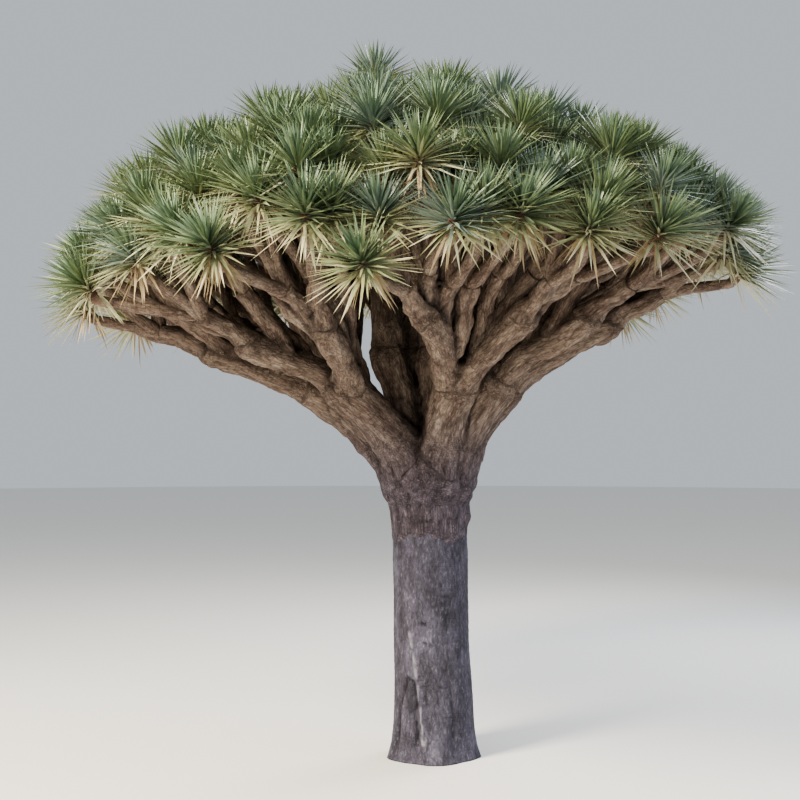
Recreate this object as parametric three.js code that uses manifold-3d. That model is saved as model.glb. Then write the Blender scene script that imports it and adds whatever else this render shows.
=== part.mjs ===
// A dragon blood tree: one stout trunk, boughs that fork again and again, and an umbrella
// crown of sword-leaved rosettes.
// Units are millimetres and +Z is up. The origin is the middle of the flat cut at ground level.
// +X is the crown's right-hand side and -Y its front.

import * as THREE from "three";
import { mergeVertices } from "three/addons/utils/BufferGeometryUtils.js";
import Module from "manifold-3d";

const wasm = await Module();
wasm.setup();

// Driving dimensions of the trunk
const TRUNK = {
  footRadius: 364,
  waistRadius: 326,
  waistHeight: 1700,
  flareWidth: 46,
  flareHeight: 140,
  gobletHeight: 1980,
  rimRadius: 555,
  rimHeight: 2680,
  crestHeight: 2930,
  crestRings: [0.45, 0.8],
  lean: -55,
  sides: 18,
  rings: 10,
};
const TAPER = { foot: 1.3, goblet: 2.2, ringCrowding: 1.15 };
const ROOT_LOBES = { count: 5, depth: 0.05, height: 420, turn: 1 };
const RIM_LOBES = { count: 8, depth: 0.05, onset: 6 };

// Driving dimensions of the crown: a dome of rosettes, a little left of the trunk
const CROWN = {
  centreX: -200,
  radius: 3010,
  topHeight: 5840,
  slope: 1050,
  slopePower: 1.1,
  rimDrop: 520,
  rimPower: 6,
  crowding: 0.47,
  leftSag: 320,
  rightLift: 90,
  rosettes: 92,
};
const WANDER = { across: 130, up: 240 };
const LEADER = { index: 1, lift: 260 }; // one rosette stands above the rest
const GOLDEN_TURN = Math.PI * (3 - Math.sqrt(5));

// Where each ring of foliage has its middle, and the hub where its branches part
const RINGS = {
  outer: { reach: 2540, hubReach: 1740, hubHeight: 3740 },
  middle: { reach: 1600, hubReach: 1000, hubHeight: 4130 },
  inner: { reach: 590, hubReach: 350, hubHeight: 4580 },
};

// The boughs that leave the trunk: the compass turn of each, and the turns of the foliage that
// it carries in each ring. Turns are degrees from +X towards +Y.
const BOUGHS = [
  { side: "left", turn: 184, outer: [166, 193], middle: [182] },
  { side: "front_left", turn: 226, outer: [220, 247], middle: [232] },
  { side: "front", turn: 297, outer: [274, 300], middle: [272] },
  { side: "front_right", turn: 328, outer: [325], middle: [318] },
  { side: "right", turn: 5, outer: [350, 16], middle: [10] },
  { side: "back_right", turn: 52, outer: [42, 68] },
  { side: "back", turn: 92, outer: [92], middle: [66] },
  { side: "back_left", turn: 134, outer: [116, 141], middle: [126] },
  { side: "top_left", turn: 205, inner: [190] },
  { side: "top_right", turn: 330, inner: [315] },
  { side: "top_back", turn: 80, inner: [70] },
];

// Where a bough is rooted in the trunk and where its knuckle lies, on the rim and on the top
const RIM_BOUGH = {
  footReach: 230,
  knuckleReach: 820,
  knuckleHeight: 3250,
  wood: { base: 215, tip: 165, steps: 3, sides: 7 },
};
const TOP_BOUGH = {
  footReach: 90,
  knuckleReach: 230,
  knuckleHeight: 3520,
  wood: { base: 165, tip: 135, steps: 3, sides: 7 },
};
const FOOT_HEIGHT = 2560;

// The radii of the finer wood, from each limb's base to its tip
const FORK = { base: 138, tip: 94, steps: 3, sides: 6 };
const STEM = { base: 94, tip: 78, steps: 1, sides: 5 };
const BRANCH = { base: 84, tip: 66, steps: 1, sides: 3 };
const TWIG = { base: 58, tip: 50, steps: 1, sides: 3 };
const STEM_SHARE = 0.18; // of the way from knuckle to hub
const BRANCH_SHARE = 0.5; // of the way from hub to rosettes
const ROSETTES_PER_BRANCH = 2.4;
const SWELL = { amount: 0.15, share: 0.2 };
const RISE = 0.74; // below 1 a limb climbs first and spreads later
const STRAIGHT = 1;
const SUNK = 0.6; // how far a limb's foot lies in its parent, in radii
const UPTURN = 0.9; // how strongly a rosette's axis turns up from its twig

// The blades: each stands for a spray of sword leaves
const BLADE = { length: 475, width: 300, thickness: 16, widest: 0.6, sunk: 40, spacing: 45 };
const BLADE_TILTS = [12, 54, 72, 88];
const BLADE_STEP = 2.399; // turn from one blade to the next, in radians
const BLADE_WANDER = { tilt: 12, length: 0.16 };
const SHORTER = [1, 0.8, 0.62];
const CLEAR = 3;
const GAP = 0.3;
const SLIVER = 1; // faces narrower than this are taken up by their neighbours

const BARK = { color: 0x6f5e54, roughness: 0.9, metalness: 0 };
const FOLIAGE = { color: 0x5f7a55, roughness: 0.6, metalness: 0 };

// Small helpers

const radians = (degrees) => (degrees * Math.PI) / 180;
const mix = (a, b, at) => a + (b - a) * at;
const along = (start, way, distance) => start.clone().addScaledVector(way, distance);

// A repeatable number from 0 to 1 for a pair of whole numbers.
function chance(index, channel) {
  const wave = Math.sin(index * 12.9898 + channel * 78.233 + 4.1) * 43758.5453;
  return wave - Math.floor(wave);
}

// The dome's height at a share of its radius: an even slope, then a steep rim.
function domeHeight(share) {
  const slope = CROWN.slope * share ** CROWN.slopePower;
  return CROWN.topHeight - slope - CROWN.rimDrop * share ** CROWN.rimPower;
}

// A point round the crown's own axis.
function around(turn, reach, height) {
  const x = CROWN.centreX + reach * Math.cos(turn);
  return new THREE.Vector3(x, reach * Math.sin(turn), height);
}

// How far a place on the left sinks, and one on the right rises.
function sag(x) {
  return ((x < 0 ? CROWN.leftSag : CROWN.rightLift) * x) / CROWN.radius;
}

// Solids and meshes

function solid(geometry) {
  const bare = geometry.clone();
  bare.deleteAttribute("normal");
  bare.deleteAttribute("uv");
  const merged = mergeVertices(bare, 1e-3);
  const vertProperties = new Float32Array(merged.attributes.position.array);
  const triVerts = new Uint32Array(merged.index.array);
  return new wasm.Manifold(new wasm.Mesh({ numProp: 3, vertProperties, triVerts }));
}

// The largest body of a solid, without loose scraps or sealed hollows.
function mainBody(whole) {
  return whole.decompose().reduce((best, body) => (body.volume() > best.volume() ? body : best));
}

function meshOf(name, body, finish) {
  const made = body.getMesh();
  const geometry = new THREE.BufferGeometry();
  geometry.setAttribute("position", new THREE.BufferAttribute(made.vertProperties, 3));
  geometry.setIndex(new THREE.BufferAttribute(made.triVerts, 1));
  geometry.computeVertexNormals();
  const mesh = new THREE.Mesh(geometry, new THREE.MeshStandardMaterial(finish));
  mesh.name = name;
  return mesh;
}

// Adds a direction to a store unless it or its reverse is there already.
function keepWay(store, way) {
  if (way.length() < 1e-6) return;
  way.normalize();
  if (way.x + 0.31 * way.y + 0.17 * way.z < 0) way.negate();
  store.set([way.x, way.y, way.z].map((part) => part.toFixed(3)).join(), way);
}

// A convex piece as its corners, face normals, edge directions and box.
function convex(geometry) {
  const place = (geometry.index ? geometry.toNonIndexed() : geometry).attributes.position;
  const corners = [];
  const normals = new Map();
  const edges = new Map();
  for (let i = 0; i < place.count; i += 3) {
    const [a, b, c] = [0, 1, 2].map((k) => new THREE.Vector3().fromBufferAttribute(place, i + k));
    corners.push(a, b, c);
    const sides = [b.clone().sub(a), c.clone().sub(b), a.clone().sub(c)];
    keepWay(normals, sides[0].clone().cross(sides[1]));
    sides.forEach((side) => keepWay(edges, side));
  }
  const box = new THREE.Box3().setFromPoints(corners).expandByScalar(CLEAR);
  return { corners, normals: [...normals.values()], edges: [...edges.values()], box };
}

// True where two convex pieces, seen along some direction, have daylight between them.
function apart(a, b) {
  if (!a.box.intersectsBox(b.box)) return true;
  const spread = (corners, way) => {
    const heights = corners.map((corner) => corner.dot(way));
    return [Math.min(...heights), Math.max(...heights)];
  };
  const daylight = (way) => {
    const [lowA, highA] = spread(a.corners, way);
    const [lowB, highB] = spread(b.corners, way);
    return lowA - highB > CLEAR || lowB - highA > CLEAR;
  };
  if (a.normals.some(daylight) || b.normals.some(daylight)) return true;
  const crossings = a.edges.flatMap((edge) => b.edges.map((other) => edge.clone().cross(other)));
  return crossings.some((way) => way.length() > 1e-3 && daylight(way.normalize()));
}

// Trunk

function trunkRadius(height) {
  const below = Math.max(0, 1 - height / TRUNK.waistHeight);
  const above = Math.max(0, height - TRUNK.gobletHeight) / (TRUNK.rimHeight - TRUNK.gobletHeight);
  const foot = (TRUNK.footRadius - TRUNK.waistRadius) * below ** TAPER.foot;
  const flare = TRUNK.flareWidth * Math.exp(-height / TRUNK.flareHeight);
  const goblet = (TRUNK.rimRadius - TRUNK.waistRadius) * above ** TAPER.goblet;
  return TRUNK.waistRadius + foot + flare + goblet;
}

// Half the outline of the trunk: flat foot, waist, goblet and a low crest between the boughs.
function trunkProfile(grow) {
  const points = [new THREE.Vector2(0, 0)];
  for (let ring = 0; ring <= TRUNK.rings; ring += 1) {
    const height = TRUNK.rimHeight * (ring / TRUNK.rings) ** TAPER.ringCrowding;
    points.push(new THREE.Vector2(trunkRadius(height) + grow, height));
  }
  const rise = TRUNK.crestHeight - TRUNK.rimHeight + grow;
  for (const at of TRUNK.crestRings) {
    const radius = (TRUNK.rimRadius + grow) * Math.sqrt(1 - at * at);
    points.push(new THREE.Vector2(radius, TRUNK.rimHeight + rise * at));
  }
  points.push(new THREE.Vector2(0, TRUNK.rimHeight + rise));
  return points;
}

// How far the trunk's round is drawn out into root lobes and into a lobe under each bough.
function lobed(turn, height) {
  const foot = ROOT_LOBES.depth * Math.exp(-height / ROOT_LOBES.height);
  const rim = RIM_LOBES.depth * Math.min(1, (height / TRUNK.rimHeight) ** RIM_LOBES.onset);
  const root = Math.cos(ROOT_LOBES.count * turn + ROOT_LOBES.turn);
  return 1 + foot * root + rim * Math.cos(RIM_LOBES.count * turn);
}

function trunkGeometry(grow) {
  const geometry = new THREE.LatheGeometry(trunkProfile(grow), TRUNK.sides);
  geometry.rotateX(Math.PI / 2);
  const place = geometry.attributes.position;
  for (let i = 0; i < place.count; i += 1) {
    const height = place.getZ(i);
    const scale = lobed(Math.atan2(place.getY(i), place.getX(i)), height);
    const lean = TRUNK.lean * (height / TRUNK.rimHeight) ** 2;
    place.setXY(i, place.getX(i) * scale + lean, place.getY(i) * scale);
  }
  return geometry;
}

// Limbs

// A route runs from start to goal in one upright plane, its height ahead of its spread.
function makeRoute(start, goal, rise) {
  const across = new THREE.Vector3(start.y - goal.y, goal.x - start.x, 0);
  const side = across.length() > 1 ? across.normalize() : new THREE.Vector3(1, 0, 0);
  const point = (at) =>
    new THREE.Vector3(
      mix(start.x, goal.x, at),
      mix(start.y, goal.y, at),
      mix(start.z, goal.z, at ** rise),
    );
  const heading = (at) => {
    const low = Math.max(0.001, at - 0.01);
    return point(low + 0.02).sub(point(low)).normalize();
  };
  return { point, heading, side };
}

// A tapering limb round one stretch of a route. Grow widens and lengthens it.
function limbGeometry(limb, grow = 0) {
  const { route, from, to, base, tip, steps, sides } = limb;
  const geometry = new THREE.CylinderGeometry(1, 1, 1, sides, steps);
  const place = geometry.attributes.position;
  for (let i = 0; i < place.count; i += 1) {
    const share = place.getY(i) + 0.5;
    const at = mix(from, to, share);
    const swell = 1 + SWELL.amount * Math.max(0, (share - 1 + SWELL.share) / SWELL.share);
    const radius = mix(base, tip, share) * swell + grow;
    const heading = route.heading(at);
    const out = route.side.clone().cross(heading);
    const lengthening = share === 0 ? -grow : share === 1 ? grow : 0;
    const vertex = along(route.point(at), heading, lengthening);
    vertex.addScaledVector(route.side, place.getX(i) * radius);
    vertex.addScaledVector(out, place.getZ(i) * radius);
    place.setXYZ(i, vertex.x, vertex.y, vertex.z);
  }
  return geometry;
}

// The straight one-step stretches of a limb as convex pieces, a little wider than it is.
function stretches(limb) {
  return Array.from({ length: limb.steps }, (_, step) => {
    const from = mix(limb.from, limb.to, step / limb.steps);
    const to = mix(limb.from, limb.to, (step + 1) / limb.steps);
    const base = mix(limb.base, limb.tip, step / limb.steps);
    return convex(limbGeometry({ ...limb, from, to, base, tip: base, steps: 1 }, CLEAR));
  });
}

function boughLimb(bough) {
  const kind = bough.inner ? TOP_BOUGH : RIM_BOUGH;
  const turn = radians(bough.turn);
  const footX = TRUNK.lean + kind.footReach * Math.cos(turn);
  const foot = new THREE.Vector3(footX, kind.footReach * Math.sin(turn), FOOT_HEIGHT);
  const knuckle = around(turn, kind.knuckleReach, kind.knuckleHeight);
  return { route: makeRoute(foot, knuckle, RISE), from: 0, to: 1, ...kind.wood };
}

function forkLimb(parent, mass) {
  const start = along(parent.route.point(1), parent.route.heading(1), -SUNK * parent.tip);
  return { route: makeRoute(start, mass.hub, RISE), from: 0, to: 1 - STEM_SHARE, ...FORK };
}

// Crown plan

// Rosettes lie on a dome in a sunflower spiral, each a little off its place.
function rosettePlaces() {
  return Array.from({ length: CROWN.rosettes }, (_, index) => {
    const share = ((index + 0.5) / CROWN.rosettes) ** CROWN.crowding;
    const place = around(index * GOLDEN_TURN, CROWN.radius * share, domeHeight(share));
    place.z += sag(place.x) * share ** CROWN.rimPower;
    place.x += WANDER.across * (chance(index, 1) - 0.5);
    place.y += WANDER.across * (chance(index, 2) - 0.5);
    place.z += WANDER.up * (chance(index, 3) - 0.5);
    if (index === LEADER.index) place.z += LEADER.lift;
    return place;
  });
}

// One mass of foliage: its bough, the middle of its stretch of dome, and its hub.
function planMass(bough, ring, degrees) {
  const turn = radians(degrees);
  const middle = around(turn, ring.reach, domeHeight(ring.reach / CROWN.radius));
  const hub = around(turn, ring.hubReach, ring.hubHeight);
  hub.z += sag(hub.x);
  return { bough, middle, hub, rosettes: [], shapes: [], geometries: [] };
}

// Every mass, with the rosettes that lie nearest to its middle.
function planMasses() {
  const masses = BOUGHS.flatMap((bough) => {
    const places = Object.entries(RINGS).flatMap(([ringName, ring]) =>
      (bough[ringName] ?? []).map((turn) => planMass(bough, ring, turn)),
    );
    places.forEach((mass, index) => (mass.name = `${bough.side}_${index + 1}`));
    return places;
  });
  rosettePlaces().forEach((place, index) => {
    const nearer = (best, mass) =>
      mass.middle.distanceTo(place) < best.middle.distanceTo(place) ? mass : best;
    masses.reduce(nearer).rosettes.push({ place, index });
  });
  return masses;
}

// Foliage

// A mass's rosettes, sorted from side to side and dealt out two or three to a branch.
function dealOut(mass) {
  const turnFrom = (place) => Math.atan2(place.y - mass.hub.y, place.x - mass.hub.x);
  const facing = turnFrom(mass.middle);
  const swing = ({ place }) => {
    const turn = turnFrom(place) - facing;
    return Math.atan2(Math.sin(turn), Math.cos(turn));
  };
  const sorted = [...mass.rosettes].sort((a, b) => swing(a) - swing(b));
  const count = Math.max(1, Math.round(sorted.length / ROSETTES_PER_BRANCH));
  const cut = (group) => Math.round((group * sorted.length) / count);
  return Array.from({ length: count }, (_, group) => sorted.slice(cut(group), cut(group + 1)));
}

// A six-faced spindle drawn out into a pointed blade with a keel, its root in the twig.
function bladeGeometry(root, way, axis, length) {
  const geometry = new THREE.SphereGeometry(1, 3, 2);
  const across = way.clone().cross(axis).normalize();
  const keel = way.clone().cross(across).normalize();
  const place = geometry.attributes.position;
  for (let i = 0; i < place.count; i += 1) {
    const pole = Math.round(place.getY(i));
    const reach = length * (pole > 0 ? 1 : pole < 0 ? 0 : BLADE.widest);
    const vertex = along(root, way, reach);
    vertex.addScaledVector(across, (place.getZ(i) * BLADE.width) / Math.sqrt(3));
    vertex.addScaledVector(keel, (place.getX(i) * BLADE.thickness) / 1.5);
    place.setXYZ(i, vertex.x, vertex.y, vertex.z);
  }
  return geometry;
}

// The blades of one rosette, spread evenly round its axis, as functions of their length.
function bladesOf(rosette, axis) {
  const side = new THREE.Vector3(0, 0, 1).cross(axis).normalize();
  const front = axis.clone().cross(side);
  return BLADE_TILTS.map((tilt, k) => {
    const turn = k * BLADE_STEP + 2 * Math.PI * chance(rosette.index, 5);
    const spread = along(side.clone().multiplyScalar(Math.cos(turn)), front, Math.sin(turn));
    const lean = radians(tilt + BLADE_WANDER.tilt * (chance(rosette.index, 6 + k) - 0.5));
    const way = along(axis.clone().multiplyScalar(Math.cos(lean)), spread, Math.sin(lean));
    const wander = 1 + BLADE_WANDER.length * (chance(rosette.index, 12 + k) - 0.5);
    const root = along(rosette.place, axis, -BLADE.sunk - BLADE.spacing * k);
    return (share) => bladeGeometry(root, way, axis, BLADE.length * wander * share + BLADE.sunk);
  });
}

// The stem of a mass carries on from its fork's tip, a gap further on.
function stemLimb(mass) {
  const { route, to } = mass.limb;
  const length = route.point(to).distanceTo(route.point(1));
  return { route, from: to + ((1 - to) * GAP) / length, to: 1, ...STEM };
}

// The wood of one mass, parents before children, with the blades that each twig carries.
function growMass(mass) {
  const growth = [{ limb: stemLimb(mass), blades: [] }];
  for (const group of dealOut(mass)) {
    const mean = new THREE.Vector3();
    group.forEach(({ place }) => mean.addScaledVector(place, 1 / group.length));
    const foot = along(mass.hub, mass.limb.route.heading(1), -SUNK * STEM.tip);
    const fork = foot.clone().lerp(mean, BRANCH_SHARE);
    const route = makeRoute(foot, fork, STRAIGHT);
    const branch = { limb: { route, from: 0, to: 1, ...BRANCH }, blades: [], parent: growth[0] };
    growth.push(branch);
    for (const rosette of group) {
      const start = along(fork, route.heading(1), -SUNK * BRANCH.tip);
      const twigRoute = makeRoute(start, rosette.place, STRAIGHT);
      const axis = along(twigRoute.heading(1), new THREE.Vector3(0, 0, 1), UPTURN).normalize();
      const limb = { route: twigRoute, from: 0, to: 1, ...TWIG };
      growth.push({ limb, blades: bladesOf(rosette, axis), parent: branch });
    }
  }
  return growth;
}

// Everything that a piece of this mass has to stay clear of.
function neighbours(mass, masses, boughShapes) {
  const others = masses.filter((other) => other !== mass);
  const wood = masses.flatMap((other) => other.limbShapes);
  return [...boughShapes, ...wood, ...others.flatMap((other) => other.shapes)];
}

// Twigs come before any blade, and one that touches something is skipped with all it carries.
function placeTwigs(masses, boughShapes) {
  for (const mass of masses) {
    const others = neighbours(mass, masses, boughShapes);
    for (const twig of mass.growth) {
      const geometry = limbGeometry(twig.limb);
      const shape = convex(geometry);
      const met = others.filter((other) => twig.parent || !mass.limbShapes.includes(other));
      twig.kept = (!twig.parent || twig.parent.kept) && met.every((other) => apart(shape, other));
      if (!twig.kept) continue;
      mass.shapes.push(shape);
      mass.geometries.push(geometry);
    }
  }
}

// Blades go on in rounds, one to each rosette, so that every mass fares alike. One that
// touches something is tried shorter, and then skipped.
function placeBlades(masses, boughShapes) {
  for (const round of BLADE_TILTS.keys()) {
    for (const mass of masses) {
      const others = neighbours(mass, masses, boughShapes);
      for (const twig of mass.growth.filter((one) => one.kept && one.blades.length)) {
        const tries = SHORTER.map((share) => twig.blades[round](share));
        const fits = (geometry) => {
          const shape = convex(geometry);
          return others.every((other) => apart(shape, other));
        };
        const fitting = tries.find(fits);
        if (!fitting) continue;
        mass.shapes.push(convex(fitting));
        mass.geometries.push(fitting);
      }
    }
  }
}

// Assembly

// Wood that stands already, a gap wider than it is: each new limb is cut back by it.
const standing = [];

function woodMesh(name, geometryWith) {
  const whole = solid(geometryWith(0));
  const body = standing.reduce((rest, other) => rest.subtract(other), whole);
  standing.push(solid(geometryWith(GAP)));
  return meshOf(name, mainBody(body), BARK);
}

function buildTree() {
  const tree = new THREE.Group();
  tree.add(woodMesh("trunk", trunkGeometry));
  const limbs = new Map(BOUGHS.map((bough) => [bough, boughLimb(bough)]));
  for (const [bough, limb] of limbs) {
    tree.add(woodMesh(`bough_${bough.side}`, (grow) => limbGeometry(limb, grow)));
  }
  const masses = planMasses();
  for (const mass of masses) {
    mass.limb = forkLimb(limbs.get(mass.bough), mass);
    mass.limbShapes = stretches(mass.limb);
    mass.growth = growMass(mass);
    tree.add(woodMesh(`fork_${mass.name}`, (grow) => limbGeometry(mass.limb, grow)));
  }
  const boughShapes = [...limbs.values()].flatMap(stretches);
  placeTwigs(masses, boughShapes);
  placeBlades(masses, boughShapes);
  for (const mass of masses) {
    const whole = mass.geometries.map(solid).reduce((sum, piece) => sum.add(piece));
    tree.add(meshOf(`foliage_${mass.name}`, mainBody(whole.simplify(SLIVER)), FOLIAGE));
  }
  return tree;
}

export default buildTree();
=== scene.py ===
"""A dragon blood tree: ringed trunk, fused boughs, branches and sword-leaved rosettes.

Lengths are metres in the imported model's frame, except where a name ends in mm.
"""

import logging
import math
from dataclasses import dataclass, field
from enum import Enum, IntEnum
from typing import Sequence

import bpy
import numpy as np
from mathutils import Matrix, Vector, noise


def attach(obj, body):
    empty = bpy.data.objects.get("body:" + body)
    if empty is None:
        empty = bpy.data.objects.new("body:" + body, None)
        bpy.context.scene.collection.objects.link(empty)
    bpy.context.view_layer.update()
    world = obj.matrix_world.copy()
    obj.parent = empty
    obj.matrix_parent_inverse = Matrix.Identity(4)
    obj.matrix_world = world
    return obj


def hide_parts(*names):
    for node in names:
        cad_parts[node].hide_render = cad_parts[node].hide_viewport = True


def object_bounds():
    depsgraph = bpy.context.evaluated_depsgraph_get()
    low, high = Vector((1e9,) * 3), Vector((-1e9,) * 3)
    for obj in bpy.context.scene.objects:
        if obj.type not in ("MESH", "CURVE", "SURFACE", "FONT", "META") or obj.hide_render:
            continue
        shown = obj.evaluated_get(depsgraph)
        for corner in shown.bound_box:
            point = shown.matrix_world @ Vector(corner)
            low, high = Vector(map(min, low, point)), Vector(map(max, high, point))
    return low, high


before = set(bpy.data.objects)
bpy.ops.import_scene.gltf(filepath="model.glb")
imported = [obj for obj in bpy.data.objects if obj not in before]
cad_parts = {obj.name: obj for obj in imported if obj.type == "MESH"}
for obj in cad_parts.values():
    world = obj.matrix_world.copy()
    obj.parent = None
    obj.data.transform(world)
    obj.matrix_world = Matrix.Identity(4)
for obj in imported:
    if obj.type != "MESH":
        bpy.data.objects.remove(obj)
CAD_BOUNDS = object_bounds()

LOG = logging.getLogger("dragon_tree")

Array = np.ndarray
Mesh = tuple[Array, Array]

GOLDEN_TURN = math.pi * (3 - math.sqrt(5))
UP = np.array((0.0, 0.0, 1.0))
# The sides of every tube are set square to this direction
ASLANT = np.array((0.8, 0.55, 0.12))
# Keeps a direction square to a limb from vanishing where the limb runs straight up
NUDGE = np.array((1e-6, 0.0, 0.0))
# Metres, further than any point lies from its nearest limb or seam
FAR = 9.0
# Divisors are held above this
TINY = 1e-9
MM_IN_METRE = 1000
# The digits of so large a wave look unrelated from one whole number to the next
INDEX_STEP, LOT_STEP, FIRST_STEP, WAVE_HEIGHT = 12.9898, 78.233, 4.1, 43758.5453


# Numbers and directions


class Lot(IntEnum):
    """What a chance number is drawn for."""

    ASIDE = 1
    AHEAD = 2
    ABOVE = 3
    BEND_ASIDE = 21
    WEAVE_ASIDE = 22
    BEND_UP = 24
    WEAVE_UP = 25
    RIB_TURN = 31
    RIB_FOOT = 32
    SLEEVE = 51
    LEAF_COUNT = 61
    FIRST_LEAF = 62
    LEAF_SIZE = 63
    TINT = 64
    DRY_COUNT = 65
    DRY_KIND = 66
    GREEN_KIND = 67


def chance(index: int, lot: Lot) -> float:
    """A repeatable number from 0 to 1.

    Args:
        index: Which thing the number is for.
        lot: What it is drawn for.

    Returns:
        The number.
    """
    wave = math.sin(index * INDEX_STEP + lot * LOT_STEP + FIRST_STEP) * WAVE_HEIGHT
    return wave - math.floor(wave)


def mix(a: float | Array, b: float | Array, at: float | Array) -> float | Array:
    """The value that lies a share of the way from one value to another.

    Args:
        a: The value at 0.
        b: The value at 1.
        at: The share of the way.

    Returns:
        The value there.
    """
    return a + (b - a) * at


def smooth(at: float | Array) -> float | Array:
    """An eased step from 0 to 1.

    Args:
        at: The place, of which all below 0 gives 0 and all above 1 gives 1.

    Returns:
        The eased value.
    """
    held = np.clip(at, 0.0, 1.0)
    return held * held * (3 - 2 * held)


def unit(ways: Array) -> Array:
    """Directions brought to length 1.

    Args:
        ways: One direction, or one a row.

    Returns:
        The same directions, each of length 1.
    """
    return ways / np.maximum(np.linalg.norm(ways, axis=-1, keepdims=True), TINY)


def rough(points: Array, scale: float, seed: float) -> Array:
    """Smooth noise from about -1 to 1 at many points.

    Args:
        points: The points, one a row.
        scale: Noise cells in a metre.
        seed: A shift that sets one pattern apart from another.

    Returns:
        One value for each point.
    """
    places = (points * scale + seed).tolist()
    return np.array([noise.noise(place) for place in places])


@dataclass(frozen=True)
class Layer:
    """A layer of smooth noise: its height, its cells in a metre, its seed and its squeeze.

    The squeeze is how many times closer together its cells lie along each axis.
    """

    height: float
    scale: float
    seed: float
    squeeze: tuple[float, float, float] = (1.0, 1.0, 1.0)

    def at(self, points: Array) -> Array:
        """The layer's height at each point."""
        return self.height * rough(points * self.squeeze, self.scale, self.seed)


def smeared(points: Array, ways: Array, scale: float, reach: float, seed: float) -> Array:
    """Noise drawn out along a direction, as the grain of bark is along its limb.

    Args:
        points: The points, one a row.
        ways: The direction of the grain at each point.
        scale: Noise cells in a metre across the grain.
        reach: How far the noise is drawn out each way.
        seed: A shift that sets one pattern apart from another.

    Returns:
        One value for each point.
    """
    shifts = (-1.0, -0.5, 0.0, 0.5, 1.0)
    layers = [rough(points + ways * (shift * reach), scale, seed) for shift in shifts]
    return sum(layers) / math.sqrt(len(shifts))


# Meshes


def joined(meshes: Sequence[Mesh]) -> Mesh:
    """Several meshes as one.

    Args:
        meshes: Corners and faces of each mesh.

    Returns:
        All corners and all faces, the faces renumbered.
    """
    starts = np.cumsum([0] + [len(corners) for corners, _ in meshes[:-1]])
    corners = np.vstack([corners for corners, _ in meshes])
    faces = np.vstack([faces + start for (_, faces), start in zip(meshes, starts)])
    return corners, faces


def tube(spine: Array, radii: Array, sides: int) -> Mesh:
    """A closed tube of quads round a spine.

    Args:
        spine: The points of the spine, one a row.
        radii: The radius at each point.
        sides: How many sides it has.

    Returns:
        Its corners and its faces. The ends close on their own middle points.
    """
    heading = unit(np.gradient(spine, axis=0))
    side = unit(np.cross(heading, ASLANT))
    out = np.cross(side, heading)
    turns = np.linspace(0, 2 * math.pi, sides, endpoint=False)
    ring = side[:, None] * np.cos(turns)[:, None] + out[:, None] * np.sin(turns)[:, None]
    body = spine[:, None] + ring * radii[:, None, None]
    corners = np.vstack([body.reshape(-1, 3), spine[:1], spine[-1:]])
    return corners, closed_faces(len(spine), sides)


# A face's corners in this order look out from its other side
OTHER_WAY_ROUND = (1, 0, 3, 2)


def closed_faces(rings: int, sides: int) -> Array:
    """The faces of a closed tube, whose two end middles come after its rings of corners.

    Args:
        rings: How many rings it has.
        sides: How many corners each ring has.

    Returns:
        The faces, four corners a row, the last doubled in a triangle.
    """
    ring, edge = np.meshgrid(np.arange(rings - 1), np.arange(sides), indexing="ij")
    beyond = (edge + 1) % sides
    low, high = ring * sides, (ring + 1) * sides
    quads = np.stack([low + edge, high + edge, high + beyond, low + beyond], axis=-1)
    edge = np.arange(sides)
    beyond = (edge + 1) % sides
    top = (rings - 1) * sides
    first = np.full(sides, rings * sides)
    foot = np.stack([edge, beyond, first, first], 1)
    head = np.stack([top + beyond, top + edge, first + 1, first + 1], 1)
    return np.vstack([quads.reshape(-1, 4), foot, head])


def main_shell(corners: Array, faces: Array) -> Mesh:
    """The largest connected shell of a mesh, without the small closed pockets inside it.

    Args:
        corners: The corners.
        faces: The faces, the same number of corners in each row.

    Returns:
        The corners and faces of that shell.
    """
    shell = np.arange(len(corners))
    while True:
        lowest = shell[faces].min(1)
        spread = shell.copy()
        for column in faces.T:
            np.minimum.at(spread, column, lowest)
        spread = spread[spread]
        if (spread == shell).all():
            break
        shell = spread
    names, sizes = np.unique(shell, return_counts=True)
    kept = shell == names[sizes.argmax()]
    renumbered = np.cumsum(kept) - 1
    return corners[kept], renumbered[faces[kept[faces[:, 0]]]]


def as_polygons(faces: Array) -> list[list[int]]:
    """Faces as lists, with the doubled last corner of a triangle left out.

    Args:
        faces: The faces, three or four corners a row.

    Returns:
        One list of corners for each face.
    """
    rows = faces.tolist()
    return [row[:3] if len(row) == 4 and row[2] == row[3] else row for row in rows]


def add_piece(name: str, mesh: Mesh, finish: "Finish") -> bpy.types.Object:
    """Put a mesh into the scene as a piece that rides on the tree.

    Args:
        name: The piece's name.
        mesh: Its corners and faces.
        finish: What it is finished in.

    Returns:
        The new object.
    """
    corners, faces = mesh
    data = bpy.data.meshes.new(name)
    data.from_pydata(corners.tolist(), [], as_polygons(faces))
    data.materials.append(finish.dress())
    piece = bpy.data.objects.new(name, data)
    bpy.context.scene.collection.objects.link(piece)
    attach(piece, "root")
    return piece


def shade_smooth(piece: bpy.types.Object) -> None:
    """Shade every face of a piece smooth.

    Args:
        piece: The piece to shade.
    """
    piece.data.polygons.foreach_set("use_smooth", [True] * len(piece.data.polygons))


def store(piece: bpy.types.Object, name: str, values: Array) -> None:
    """Keep one number or one vector for each corner of a piece, for its finish to read.

    Args:
        piece: The piece.
        name: What the numbers are called.
        values: The numbers, or one vector a row.
    """
    flat = values.ndim == 1
    kept = piece.data.attributes.new(name, "FLOAT" if flat else "FLOAT_VECTOR", "POINT")
    kept.data.foreach_set("value" if flat else "vector", values.astype(np.float32).ravel())


# Finishes


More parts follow.
